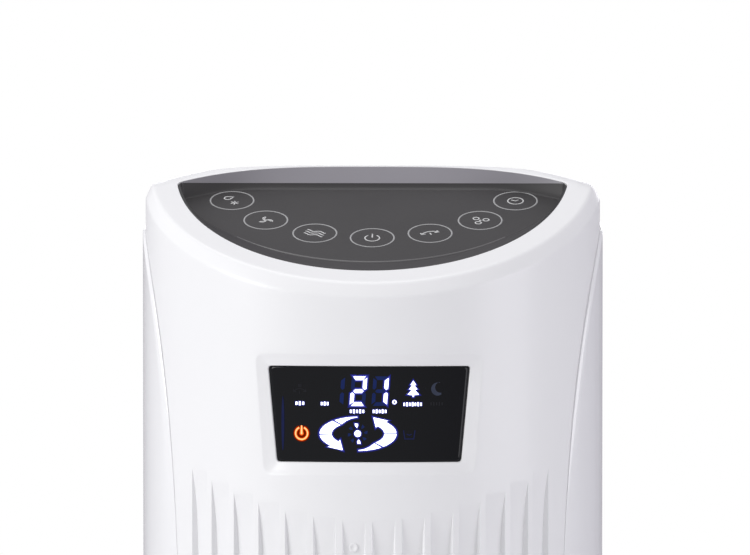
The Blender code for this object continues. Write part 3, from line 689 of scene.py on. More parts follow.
def window_lift(x):
    """How much the window's lines bow upwards at a place across it."""
    return WINDOW_BULGE * max(1.0 - (x / WINDOW_HALF_TOP) ** 2, -0.4)


def make_bezel(build, rings, hole_start, hole_end, left, right):
    """Ring of faces between the wall's opening and the display window."""
    border = [rings[hole_start][i] for i in range(left, right)]
    border += [rings[level][right] for level in range(hole_start, hole_end)]
    border += [rings[hole_end][i] for i in range(right, left, -1)]
    border += [rings[level][left] for level in range(hole_end, hole_start, -1)]
    per_side, per_end = right - left, hole_end - hole_start
    flat = [Vector((math.atan2(x, -y) * RADIUS, z))
            for x, y, z in (build.vertices[i] for i in border)]
    outer = window_outline(BEZEL + 0.9 * MM, per_side, per_end)
    rows = [[first.lerp(second, share) for first, second in zip(flat, outer)]
            for share in (0.0, 0.25, 0.5, 0.75)]
    rows = [[(point, 0.0) for point in row] for row in rows]
    profile = ((0.9, 0.0), (0.3, 0.05), (-0.3, 0.25), (-1.2, 0.62), (-3.6, 1.45), (-6.3, 2.2),
               (-7.0, 2.45), (-7.3, 2.8), (-7.4, 3.4), (-7.4, 4.2))
    for outwards, depth in profile:
        outline = window_outline(BEZEL + outwards * MM, per_side, per_end)
        rows.append([(point, depth * MM) for point in outline])
    placed = []
    for level, row in enumerate(rows):
        bow = min(level / 4, 1.0)
        placed.append([wall_point(point.x / RADIUS, point.y + bow * window_lift(point.x), depth)
                       for point, depth in row])
    build.loft(placed, closed=True)


def head_columns():
    """Outer angle and recess place of each column round the head, from the left side."""
    columns = []
    core = [column_angle(column) for column in COLUMNS]
    crease = seam_angle(crease_height(math.pi / 2))
    right = [mix(CORE, crease, step / SIDE_COLUMNS) for step in range(1, SIDE_COLUMNS + 1)]
    front = [-angle for angle in reversed(right)] + core + right
    reach = front[-1]
    for angle in front:
        columns.append((angle, ("front", angle * CORNER_START / reach)))
    for step in range(1, CORNER_COLUMNS + 1):
        share = step / CORNER_COLUMNS
        angle = mix(math.pi / 2, REAR_START, share ** 1.3)
        columns.append((angle, ("right", share)))
    for step in range(1, REAR_COLUMNS):
        share = step / REAR_COLUMNS
        angle = mix(REAR_START, math.tau - REAR_START, share)
        columns.append((math.remainder(angle, math.tau),
                        ("back", mix(CORNER_BACK_X, -CORNER_BACK_X, share))))
    for step in range(CORNER_COLUMNS):
        share = 1.0 - step / CORNER_COLUMNS
        angle = -mix(math.pi / 2, REAR_START, share ** 1.3)
        columns.append((angle, ("left", share)))
    return columns


def make_head(build):
    """Bevel, rim, ridge and roof above the crease, all the way round."""
    columns = head_columns()
    profiles = []
    for angle, place in columns:
        top = top_height(*plan_point(angle, -BEVEL_OUT))
        ridge = ridge_gap(place)
        near = Vector(recess_point(place, -max(ridge, 0.4 * MM)))
        rise = top_height(*plan_point(angle, -BEVEL_OUT - BEVEL_IN)) - top
        behind = ease((abs(angle) - math.radians(84.0)) / math.radians(30.0))
        line = fillet([(0.0, -BEVEL_DOWN - BEVEL_FALL), (0.0, -BEVEL_DOWN), (-BEVEL_OUT, 0.0),
                       (-BEVEL_OUT - BEVEL_IN, rise)],
                      [mix(7.0, 10.0, behind) * MM, mix(6.0, 8.0, behind) * MM], 6)
        column = [wall_point(angle, top + up, -out) for out, up in line[:-1]]
        start = Vector(column[-1][:2])
        for share in (0.12, 0.3, 0.5, 0.7, 0.85, 0.94):
            spot = start.lerp(near, share)
            column.append((spot.x, spot.y, top_height(spot.x, spot.y)))
        for share in (1.0, 0.88, 0.7, 0.4, 0.2, 0.05):
            spot = recess_point(place, -ridge * share)
            column.append((*spot, top_height(*spot)))
        height = top_height(*recess_point(place))
        column += [(*recess_point(place, 0.05 * MM), height - 0.22 * MM),
                   (*recess_point(place, 0.1 * MM), height - 1.2 * MM),
                   (*recess_point(place, 0.1 * MM), height - 3.0 * MM)]
        profiles.append(column)
    levels = [[column[level] for column in profiles] for level in range(len(profiles[0]))]
    build.loft(levels[::-1], closed=True)
    rear = [index for index, (angle, place) in enumerate(columns) if place[0] != "front"]
    rear = [len(COLUMNS) + 2 * SIDE_COLUMNS - 1] + rear + [0]
    steps = []
    for share in (0.0, 0.4, 0.8, 1.0):
        steps.append([(*levels[0][index][:2], mix(levels[0][index][2], HEAD_JOIN, share))
                      for index in rear])
    build.loft(steps)


def ridge_gap(place):
    """Width of the rim between the recess and the ridge; a plain band in front."""
    part, where = place
    if part == "front":
        return RIM_BAND
    if part == "back":
        return (ridge_line(where) - back_edge(where)) / math.hypot(1.0, back_slope(where))
    return mix(RIM_BAND, ridge_gap(("back", CORNER_BACK_X)), where)


def make_pin():
    """Small moulded pin on the ramp beside the middle rib."""
    angle, height = -PIN_X / RADIUS, PIN_Z
    depth = ramp_depth(angle, height)
    centre = Vector(wall_point(angle, height, depth))
    outward = Vector((math.sin(angle), -math.cos(angle), 0.0))
    across = Vector((math.cos(angle), math.sin(angle), 0.0))
    build = Builder()
    rows = []
    for radius, lift in ((2.9, -1.4), (2.9, 0.5), (2.6, 0.9), (1.9, 1.0), (1.5, 0.8), (0.8, 0.5),
                         (0.05, 0.45)):
        rows.append([tuple(centre + outward * lift * MM
                           + across * math.cos(turn) * radius * MM
                           + Vector((0.0, 0.0, math.sin(turn) * radius * MM)))
                     for turn in spread(0.0, math.tau, 33)[:-1]])
    rings = build.loft(rows, closed=True)
    build.faces += [tuple(rings[-1]), tuple(reversed(rings[0]))]
    pin = make_object("ramp_pin", build.vertices, build.faces, WHITE, "column", 40.0)
    fix_normals(pin)


def make_head_lip():
    """Inner lip that closes the seam between the head and the panels below it."""
    first = math.radians(86.0)
    angles = spread(first, math.tau - first, 97)
    build = Builder()
    rows = []
    for height in (HEAD_JOIN + 6 * MM, HEAD_JOIN + 1 * MM, HEAD_JOIN - 5 * MM):
        rows.append([(*plan_point(math.remainder(a, math.tau), -2.9 * MM), height)
                     for a in angles])
    build.loft(rows)
    lip = make_object("head_lip", build.vertices, build.faces, WHITE, "column", 40.0)
    thicken(lip, 1.2 * MM)


make_front_shell()
make_head_lip()


# ---------------------------------------------------------------- touch panel

LIP_START = 23.1 * MM
LIP_NARROWING = 6.6 * MM
STEP_DEPTH = 1.1 * MM
STEP_WIDTH = 1.3 * MM
TIP_START = math.radians(50.0)
# Width of the black band painted along the panel's front edge as the shadow in the gap
GAP_SHADOW_BAND = 3.2 * MM
# Width of the painted highlight along the step's crest
CREST_HIGHLIGHT_WIDTH = 0.8 * MM
FOOT_LEVEL = 1.04867
FOOT_SLOPE = -0.0873
FOOT_Y = 3.0 * MM
BORDER_Y = -0.8 * MM
KEY_COUNT = 7
KEY_ANGLE = math.radians(21.3)
KEY_CENTRE_Y = 26 * MM
KEY_CIRCLE = (99.2 * MM, 93.7 * MM)
KEY_SHIFT = 0.9 * MM

# Sizes of the printed keys, in millimetres
KEY_RADIUS = 14.1
KEY_LINE = 1.0
ICON_LINE = 0.85


def lip_inset(angle):
    """How far inside the recess's edge the panel's front step runs."""
    share = abs(angle) / math.radians(54.0)
    near_tip = ease((abs(angle) - TIP_START) / (CORNER_START - TIP_START))
    return LIP_START - LIP_NARROWING * share * share - 3.6 * MM * near_tip


def front_profile(angle):
    """Edge, apron, small step and floor of the panel at a front angle: (inset, height)."""
    edge = rim_height(-RECESS_RADIUS * math.cos(angle))
    inset = lip_inset(angle)
    floor = floor_height(-(RECESS_RADIUS - inset) * math.cos(angle))
    drop = STEP_DEPTH * (1.0 - 0.85 * ease((abs(angle) - math.radians(22.0)) / 0.6))
    foot = floor - drop
    start = (2.0 * MM, edge - 0.62 * MM)
    points = [(0.35 * MM, edge - 3.2 * MM), (0.35 * MM, edge - 1.2 * MM),
              (0.55 * MM, edge - 1.0 * MM), (1.5 * MM, edge - 1.0 * MM), start]
    end = (inset - STEP_WIDTH, foot)
    for share in (0.06, 0.2, 0.4, 0.6, 0.75, 0.86, 0.94, 1.0):
        points.append((mix(start[0], end[0], share), mix(start[1], end[1], share)))
    for share in (0.12, 0.25, 0.38, 0.5, 0.62, 0.75, 0.88, 1.0):
        points.append((inset - STEP_WIDTH * (1.0 - share), mix(foot, floor, ease(share))))
    return points


def back_points(x):
    """Back wall, its foot and the floor's border at a place along X: (y, height)."""
    edge_y = back_edge(x)
    edge = rim_height(edge_y)
    foot_y = smooth_min(FOOT_Y, edge_y - 0.9 * MM, 3 * MM)
    foot = smooth_min(FOOT_LEVEL + FOOT_SLOPE * foot_y, edge - 0.9 * MM, 1 * MM)
    border_y = smooth_min(BORDER_Y, edge_y - 3.4 * MM, 4 * MM)
    border = floor_height(border_y)
    points = [(edge_y - 0.35 * MM, edge - 3.2 * MM), (edge_y - 0.35 * MM, edge - 1.2 * MM),
              (edge_y - 0.40 * MM, edge - 0.70 * MM), (edge_y - 0.55 * MM, edge - 0.48 * MM),
              (edge_y - 0.8 * MM, edge - 0.42 * MM)]
    start = points[-1]
    for share in (0.025, 0.2, 0.4, 0.55, 0.7, 0.85, 0.94, 1.0):
        points.append((mix(start[0], foot_y, share), mix(start[1], foot, share)))
    low = (mix(foot_y, border_y, 0.30), mix(foot, border, 0.86))
    for share in (0.12, 0.25, 0.38, 0.5, 0.62, 0.75, 0.88, 1.0):
        first = (mix(foot_y, low[0], share), mix(foot, low[1], share))
        second = (mix(low[0], border_y, share), mix(low[1], border, share))
        points.append((mix(first[0], second[0], share), mix(first[1], second[1], share)))
    return points


def corner_blend(share, part):
    """Corner column between the front end's and the back end's, settled on the floor."""
    front, back = front_profile(CORNER_START), back_points(CORNER_BACK_X)
    edge_y = back_edge(CORNER_BACK_X)
    front_foot = floor_height(-(RECESS_RADIUS - front[-1][0]) * math.cos(CORNER_START))
    foot = mix(front_foot, floor_height(back[-1][0]), share)
    foot_y = recess_point((part, share), mix(front[-1][0], edge_y - back[-1][0], share))[1]
    column = []
    for level, ((inset, height), (back_y, back_height)) in enumerate(zip(front, back)):
        settled = level / (len(front) - 1)
        z = mix(height, back_height, share) + (floor_height(foot_y) - foot) * settled
        column.append((*recess_point((part, share), mix(inset, edge_y - back_y, share)), z))
    return column


def back_column(x):
    """Back profile laid out across the edge, turned with it near the two corners."""
    turned = ease((abs(x) - 95 * MM) / (20 * MM))
    points = back_points(x)
    column = []
    for level, (y, height) in enumerate(points):
        spot_x, spot_y = recess_point(("back", x), back_edge(x) - y)
        spot_x, spot_y = mix(x, spot_x, turned), mix(y, spot_y, turned)
        settled = level / (len(points) - 1)
        z = height + (floor_height(spot_y) - floor_height(y)) * settled
        column.append((spot_x, spot_y, z))
    return column


def make_touch_panel():
    """Dark sunken panel: front apron and step, sloping floor, back wall with a fillet."""
    places = [("front", a) for a in spread(-CORNER_START, CORNER_START, 97)]
    places += [("right", share) for share in spread(0.0, 1.0, 9)[1:]]
    places += [("back", CORNER_BACK_X * math.cos(t)) for t in spread(0.0, math.pi, 73)[1:]]
    places += [("left", share) for share in spread(1.0, 0.0, 9)[1:-1]]
    columns = []
    for place in places:
        part, where = place
        if part == "front":
            column = [(*recess_point(place, inset), height)
                      for inset, height in front_profile(where)]
        elif part == "back":
            column = back_column(where)
        else:
            column = corner_blend(where, part)
        columns.append(column)
    rows = [list(row) for row in zip(*columns)]
    border = rows[-1]
    for share in (0.03, 0.10, 0.25, 0.45, 0.65, 0.85):
        row = []
        for x, y, height in border:
            spot = Vector((x, y)).lerp(Vector((x * 0.72, -0.034)), share)
            row.append((spot.x, spot.y, floor_height(spot.y)))
        rows.append(row)
    build = Builder()
    build.loft(rows, closed=True)
    floor_fill(build, rows[-1])
    panel = make_object("touch_panel", build.vertices, build.faces, DARK, "column", 38.0)
    flip_up(panel)
    thicken(panel, 0.4 * MM)
    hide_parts("control_panel")
    shade_panel(panel)


def floor_fill(build, last):
    """Close the middle of the floor with a strip of quads between its front and back."""
    start = len(build.vertices) - len(last)
    count = len(last)
    lowest = min(range(count), key=lambda index: (round(last[index][0], 5), last[index][1]))
    order = [(lowest + index) % count for index in range(count)]
    left, right = 0, count - 1
    faces = []
    while right - left > 2:
        faces.append((order[left], order[left + 1], order[right - 1], order[right]))
        left, right = left + 1, right - 1
    if right - left == 2:
        faces.append((order[left], order[left + 1], order[right]))
    build.faces.extend(tuple(start + index for index in face) for face in faces)


def flip_up(obj):
    """Turn an open surface's faces so that they look up."""
    with editing(obj) as work:
        bmesh.ops.recalc_face_normals(work, faces=work.faces)
        if sum(face.normal.z * face.calc_area() for face in work.faces) < 0:
            bmesh.ops.reverse_faces(work, faces=work.faces)


def shade_panel(panel):
    """Painted reflection: lighter satin back wall; painted shadow: black band along the front edge;
    painted highlight: paler crest of the step.
    """
    for material in (WALL_PAINTED_SHEEN, BLACK, PAINTED_CREST_HIGHLIGHT):
        panel.data.materials.append(material)
    for face in panel.data.polygons:
        x, y, z = face.center
        upright = face.normal.y < -0.3 and z > FOOT_LEVEL + FOOT_SLOPE * y
        # painted reflection: upright back-wall faces get the lighter wall grey
        if upright and y > back_edge(x) - 7.5 * MM and y > -13 * MM:
            face.material_index = 1
        inset, angle = RECESS_RADIUS - math.hypot(x, y), math.atan2(x, -y)
        if abs(angle) < CORNER_START and face.normal.z > 0.2:
            beside_crest = abs(inset - lip_inset(angle) + 0.45 * MM)
            # painted shadow: faces along the front edge turn black for the gap's shade
            if inset < GAP_SHADOW_BAND:
                face.material_index = 2
            # painted highlight: a thin strip along the step's crest gets the paler crest grey
            elif beside_crest < CREST_HIGHLIGHT_WIDTH / 2 and abs(angle) < 0.9:
                face.material_index = 3


def on_floor(angle, centre, raise_by):
    """A function that lays flat points, in millimetres, on the panel's floor about a centre."""
    tilt = math.atan(FLOOR_SLOPE)

    def place(point):
        x = (point[0] * math.cos(angle) - point[1] * math.sin(angle)) * MM
        y = (point[0] * math.sin(angle) + point[1] * math.cos(angle)) * MM
        spot_y = centre[1] + y * math.cos(tilt)
        return centre[0] + x, spot_y, floor_height(spot_y) + raise_by * MM

    return place


# ---------------------------------------------------------------- flat graphics, in millimetres

def ring(radius, width, centre=(0.0, 0.0), start=0.0, end=math.tau, steps=40):
    """A ring or an arc as quads."""
    turns = spread(start, end, steps + 1)
    inner, outer = radius - width / 2, radius + width / 2
    quads = []
    for first, second in zip(turns, turns[1:]):
        quads.append([(centre[0] + r * math.cos(t), centre[1] + r * math.sin(t))
                      for r, t in ((inner, first), (outer, first), (outer, second),
                                   (inner, second))])
    return quads


def disc(radius, centre=(0.0, 0.0), steps=20):
    """A filled circle."""
    turns = [math.tau * index / steps for index in range(steps)]
    return [[(centre[0] + radius * math.cos(t), centre[1] + radius * math.sin(t))
             for t in turns]]


def stroke(points, width):
    """A line of a given width as quads, with its corners mitred."""
    spots = [Vector(point) for point in points]
    sides = []
    for index, spot in enumerate(spots):
        before = spots[max(index - 1, 0)]
        after = spots[min(index + 1, len(spots) - 1)]
        first = (spot - before).normalized() if index else (after - spot).normalized()
        second = (after - spot).normalized() if index < len(spots) - 1 else first
        along = (first + second).normalized()
        across = Vector((-along.y, along.x))
        stretch = 1.0 / max(across.dot(Vector((-first.y, first.x))), 0.5)
        sides.append((spot + across * width / 2 * stretch, spot - across * width / 2 * stretch))
    return [[tuple(a), tuple(b), tuple(d), tuple(c)]
            for (a, b), (c, d) in zip(sides, sides[1:])]


def grow(polygon, amount):
    """A convex polygon moved outwards by an amount."""
    spots = [Vector(point) for point in polygon]
    area = sum(a.x * b.y - b.x * a.y for a, b in zip(spots, spots[1:] + spots[:1]))
    side = 1.0 if area > 0 else -1.0
    grown = []
    for index, spot in enumerate(spots):
        before, after = spots[index - 1], spots[(index + 1) % len(spots)]
        first, second = (spot - before).normalized(), (after - spot).normalized()
        one, two = Vector((first.y, -first.x)) * side, Vector((second.y, -second.x)) * side
        across = (one + two).normalized()
        grown.append(tuple(spot + across * amount / max(across.dot(one), 0.45)))
    return grown


def draw(name, polygons, place, material, depth=0.10):
    """Thin printed or lit shapes laid on a surface by a placing function."""
    vertices, faces = [], []
    for polygon in polygons:
        start = len(vertices)
        vertices += [place(point) for point in polygon]
        faces.append(tuple(range(start, len(vertices))))
    obj = make_object(name, vertices, faces, material, "column", 60.0)
    seen = Vector((0.0, -1.0, 0.35))
    with editing(obj) as work:
        for face in work.faces:
            if face.normal.dot(seen) < 0:
                face.normal_flip()
    thicken(obj, depth * MM)


def moved(polygons, offset, angle=0.0, scale=1.0):
    """Polygons turned, scaled and moved."""
    turned = []
    for polygon in polygons:
        turned.append([(offset[0] + scale * (x * math.cos(angle) - y * math.sin(angle)),
                        offset[1] + scale * (x * math.sin(angle) + y * math.cos(angle)))
                       for x, y in polygon])
    return turned


def drop_icon(size, line):
    """A water drop and a snow star, for cooling and humidity."""
    outline = []
    for turn in spread(math.radians(-215.0), math.radians(35.0), 15):
        outline.append((math.cos(turn) * size * 0.42, math.sin(turn) * size * 0.42 - size * 0.18))
    outline = [(0.0, size * 0.62)] + outline[::-1] + [(0.0, size * 0.62)]
    shapes = moved(stroke(outline, line), (-size * 0.85, 0.0))
    for turn in range(3):
        arm = stroke([(-size * 0.52, 0.0), (size * 0.52, 0.0)], line)
        shapes += moved(arm, (size * 0.75, 0.0), math.radians(60.0 * turn + 30.0))
    return shapes


def fan_icon(size, line):
    """A hub with three curved blades."""
    shapes = disc(size * 0.16)
    for index in range(3):
        turn = math.tau * index / 3
        blade = ring(size * 0.42, line, (size * 0.42, 0.0), math.radians(25.0),
                     math.radians(180.0), 12)
        blade += ring(size * 0.62, line, (size * 0.38, -size * 0.40), math.radians(62.0),
                      math.radians(128.0), 10)
        shapes += moved(blade, (0.0, 0.0), turn, 0.85)
    return shapes


def mode_icon(size, line):
    """Three stacked breeze lines."""
    shapes = []
    for index in (-1, 0, 1):
        wave = [(x * size, index * size * 0.42 + math.sin(x * 5.2) * size * 0.13)
                for x in spread(-1.0, 1.0, 15)]
        shapes += stroke(wave, line)
    return shapes


def power_icon(size, line):
    """An open ring with a bar."""
    shapes = ring(size * 0.62, line, (0.0, -size * 0.06), math.radians(125.0),
                  math.radians(415.0), 30)
    return shapes + stroke([(0.0, size * 0.02), (0.0, size * 0.78)], line)


def swing_icon(size, line):
    """An arc with an arrowhead at each end and a bar below it."""
    centre = (0.0, -size * 0.75)
    shapes = ring(size * 1.15, line, centre, math.radians(40.0), math.radians(140.0), 16)
    for side in (-1.0, 1.0):
        tip = (side * size * 0.88, -size * 0.02)
        shapes += stroke([(tip[0] - side * size * 0.02, tip[1] + size * 0.40), tip,
                          (tip[0] - side * size * 0.42, tip[1] + size * 0.02)], line)
    return shapes + stroke([(0.0, -size * 0.35), (0.0, size * 0.1)], line)


def ion_icon(size, line):
    """Three small circles round a dot."""
    shapes = disc(size * 0.12)
    for index in range(3):
        turn = math.tau * index / 3 + math.pi / 2
        centre = (size * 0.52 * math.cos(turn), size * 0.52 * math.sin(turn))
        shapes += ring(size * 0.26, line, centre, steps=16)
    return shapes


def clock_icon(size, line):
    """A dial with two hands."""
    shapes = ring(size * 0.66, line, steps=28)
    return shapes + stroke([(0.0, size * 0.42), (0.0, 0.0), (size * 0.30, -size * 0.14)], line)


KEY_ICONS = (("humidity", drop_icon, 5.2), ("speed", fan_icon, 6.8), ("mode", mode_icon, 6.6),
             ("power", power_icon, 7.4), ("swing", swing_icon, 6.4), ("ion", ion_icon, 7.2),
             ("timer", clock_icon, 7.4))


def make_keys():
    """Seven round touch keys with printed pictograms, in an arc on the panel."""
    for index, (name, icon, size) in enumerate(KEY_ICONS):
        angle = (index - KEY_COUNT // 2) * KEY_ANGLE
        centre = (KEY_CIRCLE[0] * math.sin(angle) + KEY_SHIFT,
                  KEY_CENTRE_Y - KEY_CIRCLE[1] * math.cos(angle))
        draw(f"key_ring_{name}", ring(KEY_RADIUS - KEY_LINE / 2, KEY_LINE, steps=56),
             on_floor(0.0, centre, 0.06), RING)
        draw(f"key_icon_{name}", icon(size, ICON_LINE), on_floor(angle, centre, 0.08), PRINT)


make_touch_panel()
make_keys()


# ---------------------------------------------------------------- display

LENS_DEPTH = 3.3 * MM
GRAPHICS_SQUEEZE = 0.985

# Sizes of the display's graphics, in millimetres
DIGIT_SIZE = (9.4, 18.6)
SEGMENT = 2.5
SLANT = 0.075
SEGMENTS = ("top", "middle", "bottom", "upper_left", "upper_right", "lower_left", "lower_right")
LABEL_HEIGHT = 2.6
SWIRL_SIZE = (24.129, 10.584)


def make_lens():
    """Glossy smoked lens, curved like the wall and set back behind the bezel."""
    build = Builder()
    outline = window_outline(-0.15 * MM, 24, 18)
    centre = Vector((0.0, (WINDOW_BOTTOM + WINDOW_TOP) / 2))
    rows = []
    for share in (0.0, 0.04, 0.2, 0.4, 0.6, 0.8):
        spots = [point.lerp(centre, share) for point in outline]
        rows.append([wall_point(spot.x / RADIUS, spot.y + window_lift(spot.x), LENS_DEPTH)
                     for spot in spots])
    rings = build.loft(rows, closed=True)
    middle = build.row([wall_point(0.0, centre.y + WINDOW_BULGE, LENS_DEPTH)])[0]
    last = rings[-1]
    for index, vertex in enumerate(last):
        build.faces.append((vertex, middle, last[(index + 1) % len(last)]))
    lens = make_object("display_lens", build.vertices, build.faces, LENS, "column", 60.0)
    face_out(lens)
    thicken(lens, 2.0 * MM)
    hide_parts("display_window")


def face_out(obj):
    """Turn an open surface's faces away from the fan's middle."""
    with editing(obj) as work:
        for face in work.faces:
            centre = face.calc_center_median()
            if face.normal.x * centre.x + face.normal.y * centre.y < 0:
                face.normal_flip()


def on_lens(raise_by):
    """A function that lays flat points, measured from the window's middle, on the lens."""
    middle = (WINDOW_BOTTOM + WINDOW_TOP) / 2

    def place(point):
        x, y = point[0] * MM, point[1] * MM
        angle = math.asin(x * GRAPHICS_SQUEEZE / (RADIUS - LENS_DEPTH))
        return wall_point(angle, middle + y + window_lift(x), LENS_DEPTH - raise_by * MM)

    return place


def show(name, shapes, material, layer=0.10, depth=0.04):
    """Shapes of one colour on the display, at a height above the lens."""
    draw(name, shapes, on_lens(layer), material, depth)


def segment_shape(name):
    """Outline of one segment of a digit, about the digit's middle."""
    width, height = DIGIT_SIZE
    half, tip = SEGMENT / 2, SEGMENT * 0.30
    if name in ("top", "bottom"):
        y = (height - SEGMENT) / 2 + half
        reach = width / 2 - 0.25 * SEGMENT
        shape = [(-reach, y), (reach, y), (reach - SEGMENT * 0.72, y - SEGMENT),
                 (-reach + SEGMENT * 0.72, y - SEGMENT)]
        if name == "bottom":
            shape = [(x, -y) for x, y in shape]
    elif name == "middle":
        reach = width / 2 - SEGMENT * 0.55
        shape = [(-reach, 0.0), (-reach + half, half), (reach - half, half), (reach, 0.0),
                 (reach - half, -half), (-reach + half, -half)]
    else:
        top, low = height / 2 - 0.35 * SEGMENT, 0.30 * SEGMENT
        x = width / 2 + half * 0.2
        shape = [(x, top), (x, low + tip), (x - half, low), (x - SEGMENT, low + half),
                 (x - SEGMENT, top - SEGMENT * 0.75)]
        if name.startswith("lower"):
            shape = [(x, -y) for x, y in shape]
        if name.endswith("left"):
            shape = [(-x, y) for x, y in shape]
    return [(x + SLANT * y, y) for x, y in shape]


def light_up(name, polygons, halo=0.55, layer=0.10):
    """White lit shapes over a blue halo."""
    for order, (extra, material, tag) in enumerate(
            ((halo * 2.2, HALO_FAR, "glow"), (halo, HALO, "halo"), (0.0, LIT, "lit"))):
        shapes = [grow(polygon, extra) if extra else polygon for polygon in polygons]
        show(f"{name}_{tag}", shapes, material, layer + 0.05 * order)


def make_digits():
    """Two seven-segment digits, showing 21, and half of a third."""
    lit = {0: ("top", "upper_right", "middle", "lower_left", "bottom"),
           1: ("upper_right", "lower_right")}
    centres = {0: (-6.5, 14.4), 1: (7.1, 14.4)}
    shown, hidden = [], []
    for digit, centre in centres.items():
        for name in SEGMENTS:
            shape = [(x + centre[0], y + centre[1]) for x, y in segment_shape(name)]
            (shown if name in lit[digit] else hidden).append(grow(shape, -0.12))
    for name in ("upper_right", "lower_right"):
        hidden.append([(x - 20.4, y + 14.4) for x, y in segment_shape(name)])
    show("digits_unlit", hidden, DIM)
    light_up("digits", shown)


def label(centre, count, width):
    """A row of small plain blocks in place of a word."""
    shapes = []
    step = width / count
    for index in range(count):
        x = centre[0] - width / 2 + step * (index + 0.5)
        half = step * 0.27
        tall = LABEL_HEIGHT / 2 * (0.9 if index % 2 else 0.72)
        shapes.append([(x - half, centre[1] - tall), (x + half, centre[1] - tall),
                       (x + half, centre[1] + tall), (x - half, centre[1] + tall)])
    return shapes


def make_labels():
    """Blocks under the icons and digits."""
    places = (((-43.5, 6.6), 3, 6.4), ((-27.8, 6.5), 3, 5.6), ((-7.4, 1.8), 5, 9.8),
              ((6.8, 1.8), 5, 9.4), ((27.5, 6.2), 7, 12.2))
    shapes = []
    for (x, y), count, width in places:
        shapes += label((x, y), count, width)
    shapes += ring(1.0, 0.6, (16.1, 7.6), steps=14)
    light_up("labels", shapes, 0.22)
    show("labels_unlit", label((42.5, 6.4), 5, 8.6), FAINT)


def make_tree():
    """Tree icon for the natural breeze."""
    x, y = 27.9, 15.9
    shapes = []
    for top, low, half in ((4.9, 2.1, 1.7), (2.6, -0.6, 2.6), (0.2, -3.9, 3.5)):
        shapes.append([(x, y + top), (x + half, y + low + 0.3), (x + half * 0.35, y + low),
                       (x - half * 0.35, y + low), (x - half, y + low + 0.3)])
    shapes.append([(x - 0.5, y - 3.7), (x + 0.5, y - 3.7),
                   (x + 0.35, y - 5.0), (x - 0.35, y - 5.0)])
    light_up("tree", shapes, 0.40)


def make_power_light():
    """Orange standby sign with a red glow."""
    centre = (-42.4, -12.1)
    radius = 3.8
    for order, (extra, material, tag) in enumerate(
            ((2.0, ORANGE_HALO, "glow"), (0.7, ORANGE, "ring"), (-0.25, AMBER, "core"))):
        width = 1.0 + extra
        shapes = ring(radius, width, centre, math.radians(112.0), math.radians(428.0), 36)
        bar = 0.55 + extra * 0.5
        x, y = centre
        shapes.append([(x - bar * 0.7, y + 4.9), (x - bar * 1.3, y + 0.2),
                       (x + bar * 1.3, y + 0.2), (x + bar * 0.7, y + 4.9)])
        shapes += disc(bar * 1.5, (x, y), 14)
        show(f"power_{tag}", shapes, material, 0.10 + 0.05 * order)


def swirl_point(angle, scale):
    """A point on the swirl's ellipse, from its middle."""
    return SWIRL_SIZE[0] * math.cos(angle) * scale, SWIRL_SIZE[1] * math.sin(angle) * scale


def swirl_inner(degrees):
    """How far in the band reaches at an angle."""
    return mix(0.965, 0.69, ease((degrees - 88.0) / 46.0))


def swirl_band():
    """Cells of the left arrow: a thin tail at the top, round the left, to an arrowhead."""
    cells = []
    spans = []
    for edges in ((91.0, 99.0, 106.0, 113.0, 120.0, 127.0), (131.5, 145.0, 161.0, 180.0),
                  (184.5, 198.0, 212.0, 224.0)):
        spans += zip(edges, edges[1:])
    for first, second in spans:
        turns = spread(first, second, 4)
        outer = [swirl_point(math.radians(t), 1.0) for t in turns]
        inner = [swirl_point(math.radians(t), swirl_inner(t)) for t in reversed(turns)]
        for index in range(3):
            cells.append([outer[index], outer[index + 1], inner[2 - index], inner[3 - index]])
    tip = (-9.7, -10.2)
    cells.append([swirl_point(math.radians(224.6), 1.10), tip,
                  swirl_point(math.radians(219.0), 0.60), swirl_point(math.radians(224.6), 0.8)])
    return cells


def make_swirl():
    """Two arrows chasing each other round a fan wheel."""
    centre = (-6.8, -12.2)
    cells = swirl_band()
    shapes = moved(cells, centre) + moved(cells, centre, math.pi)
    light_up("swirl", shapes, 0.50)
    lines = []
    for degrees in (99.0, 106.0, 113.0, 120.0, 145.0, 161.0, 198.0, 212.0, 224.0):
        turn = math.radians(degrees)
        ends = [swirl_point(turn, 0.995), swirl_point(turn, swirl_inner(degrees) + 0.01)]
        lines += stroke(ends, 0.28)
    lines = moved(lines, centre) + moved(lines, centre, math.pi)
    show("swirl_lines", lines, CELL_LINE, 0.26, 0.03)
    middle = (centre[0] - 0.2, centre[1] + 0.1)
    lit = disc(2.0, middle, 20)
    dim = []
    for index in range(8):
        turn = math.tau * index / 8 + math.radians(98.0)
        outer = [(r * math.cos(a), r * math.sin(a)) for r, a in
                 ((3.7, 0.0), (5.2, 0.16), (6.5, 0.14), (6.1, -0.16), (4.9, -0.18))]
        blade = [(x + middle[0], y + middle[1]) for x, y in moved([outer], (0, 0), turn)[0]]
        (lit if index in (0, 4) else dim).append(blade)
    light_up("wheel", lit, 0.40, 0.12)
    show("wheel_unlit", dim, DIM)


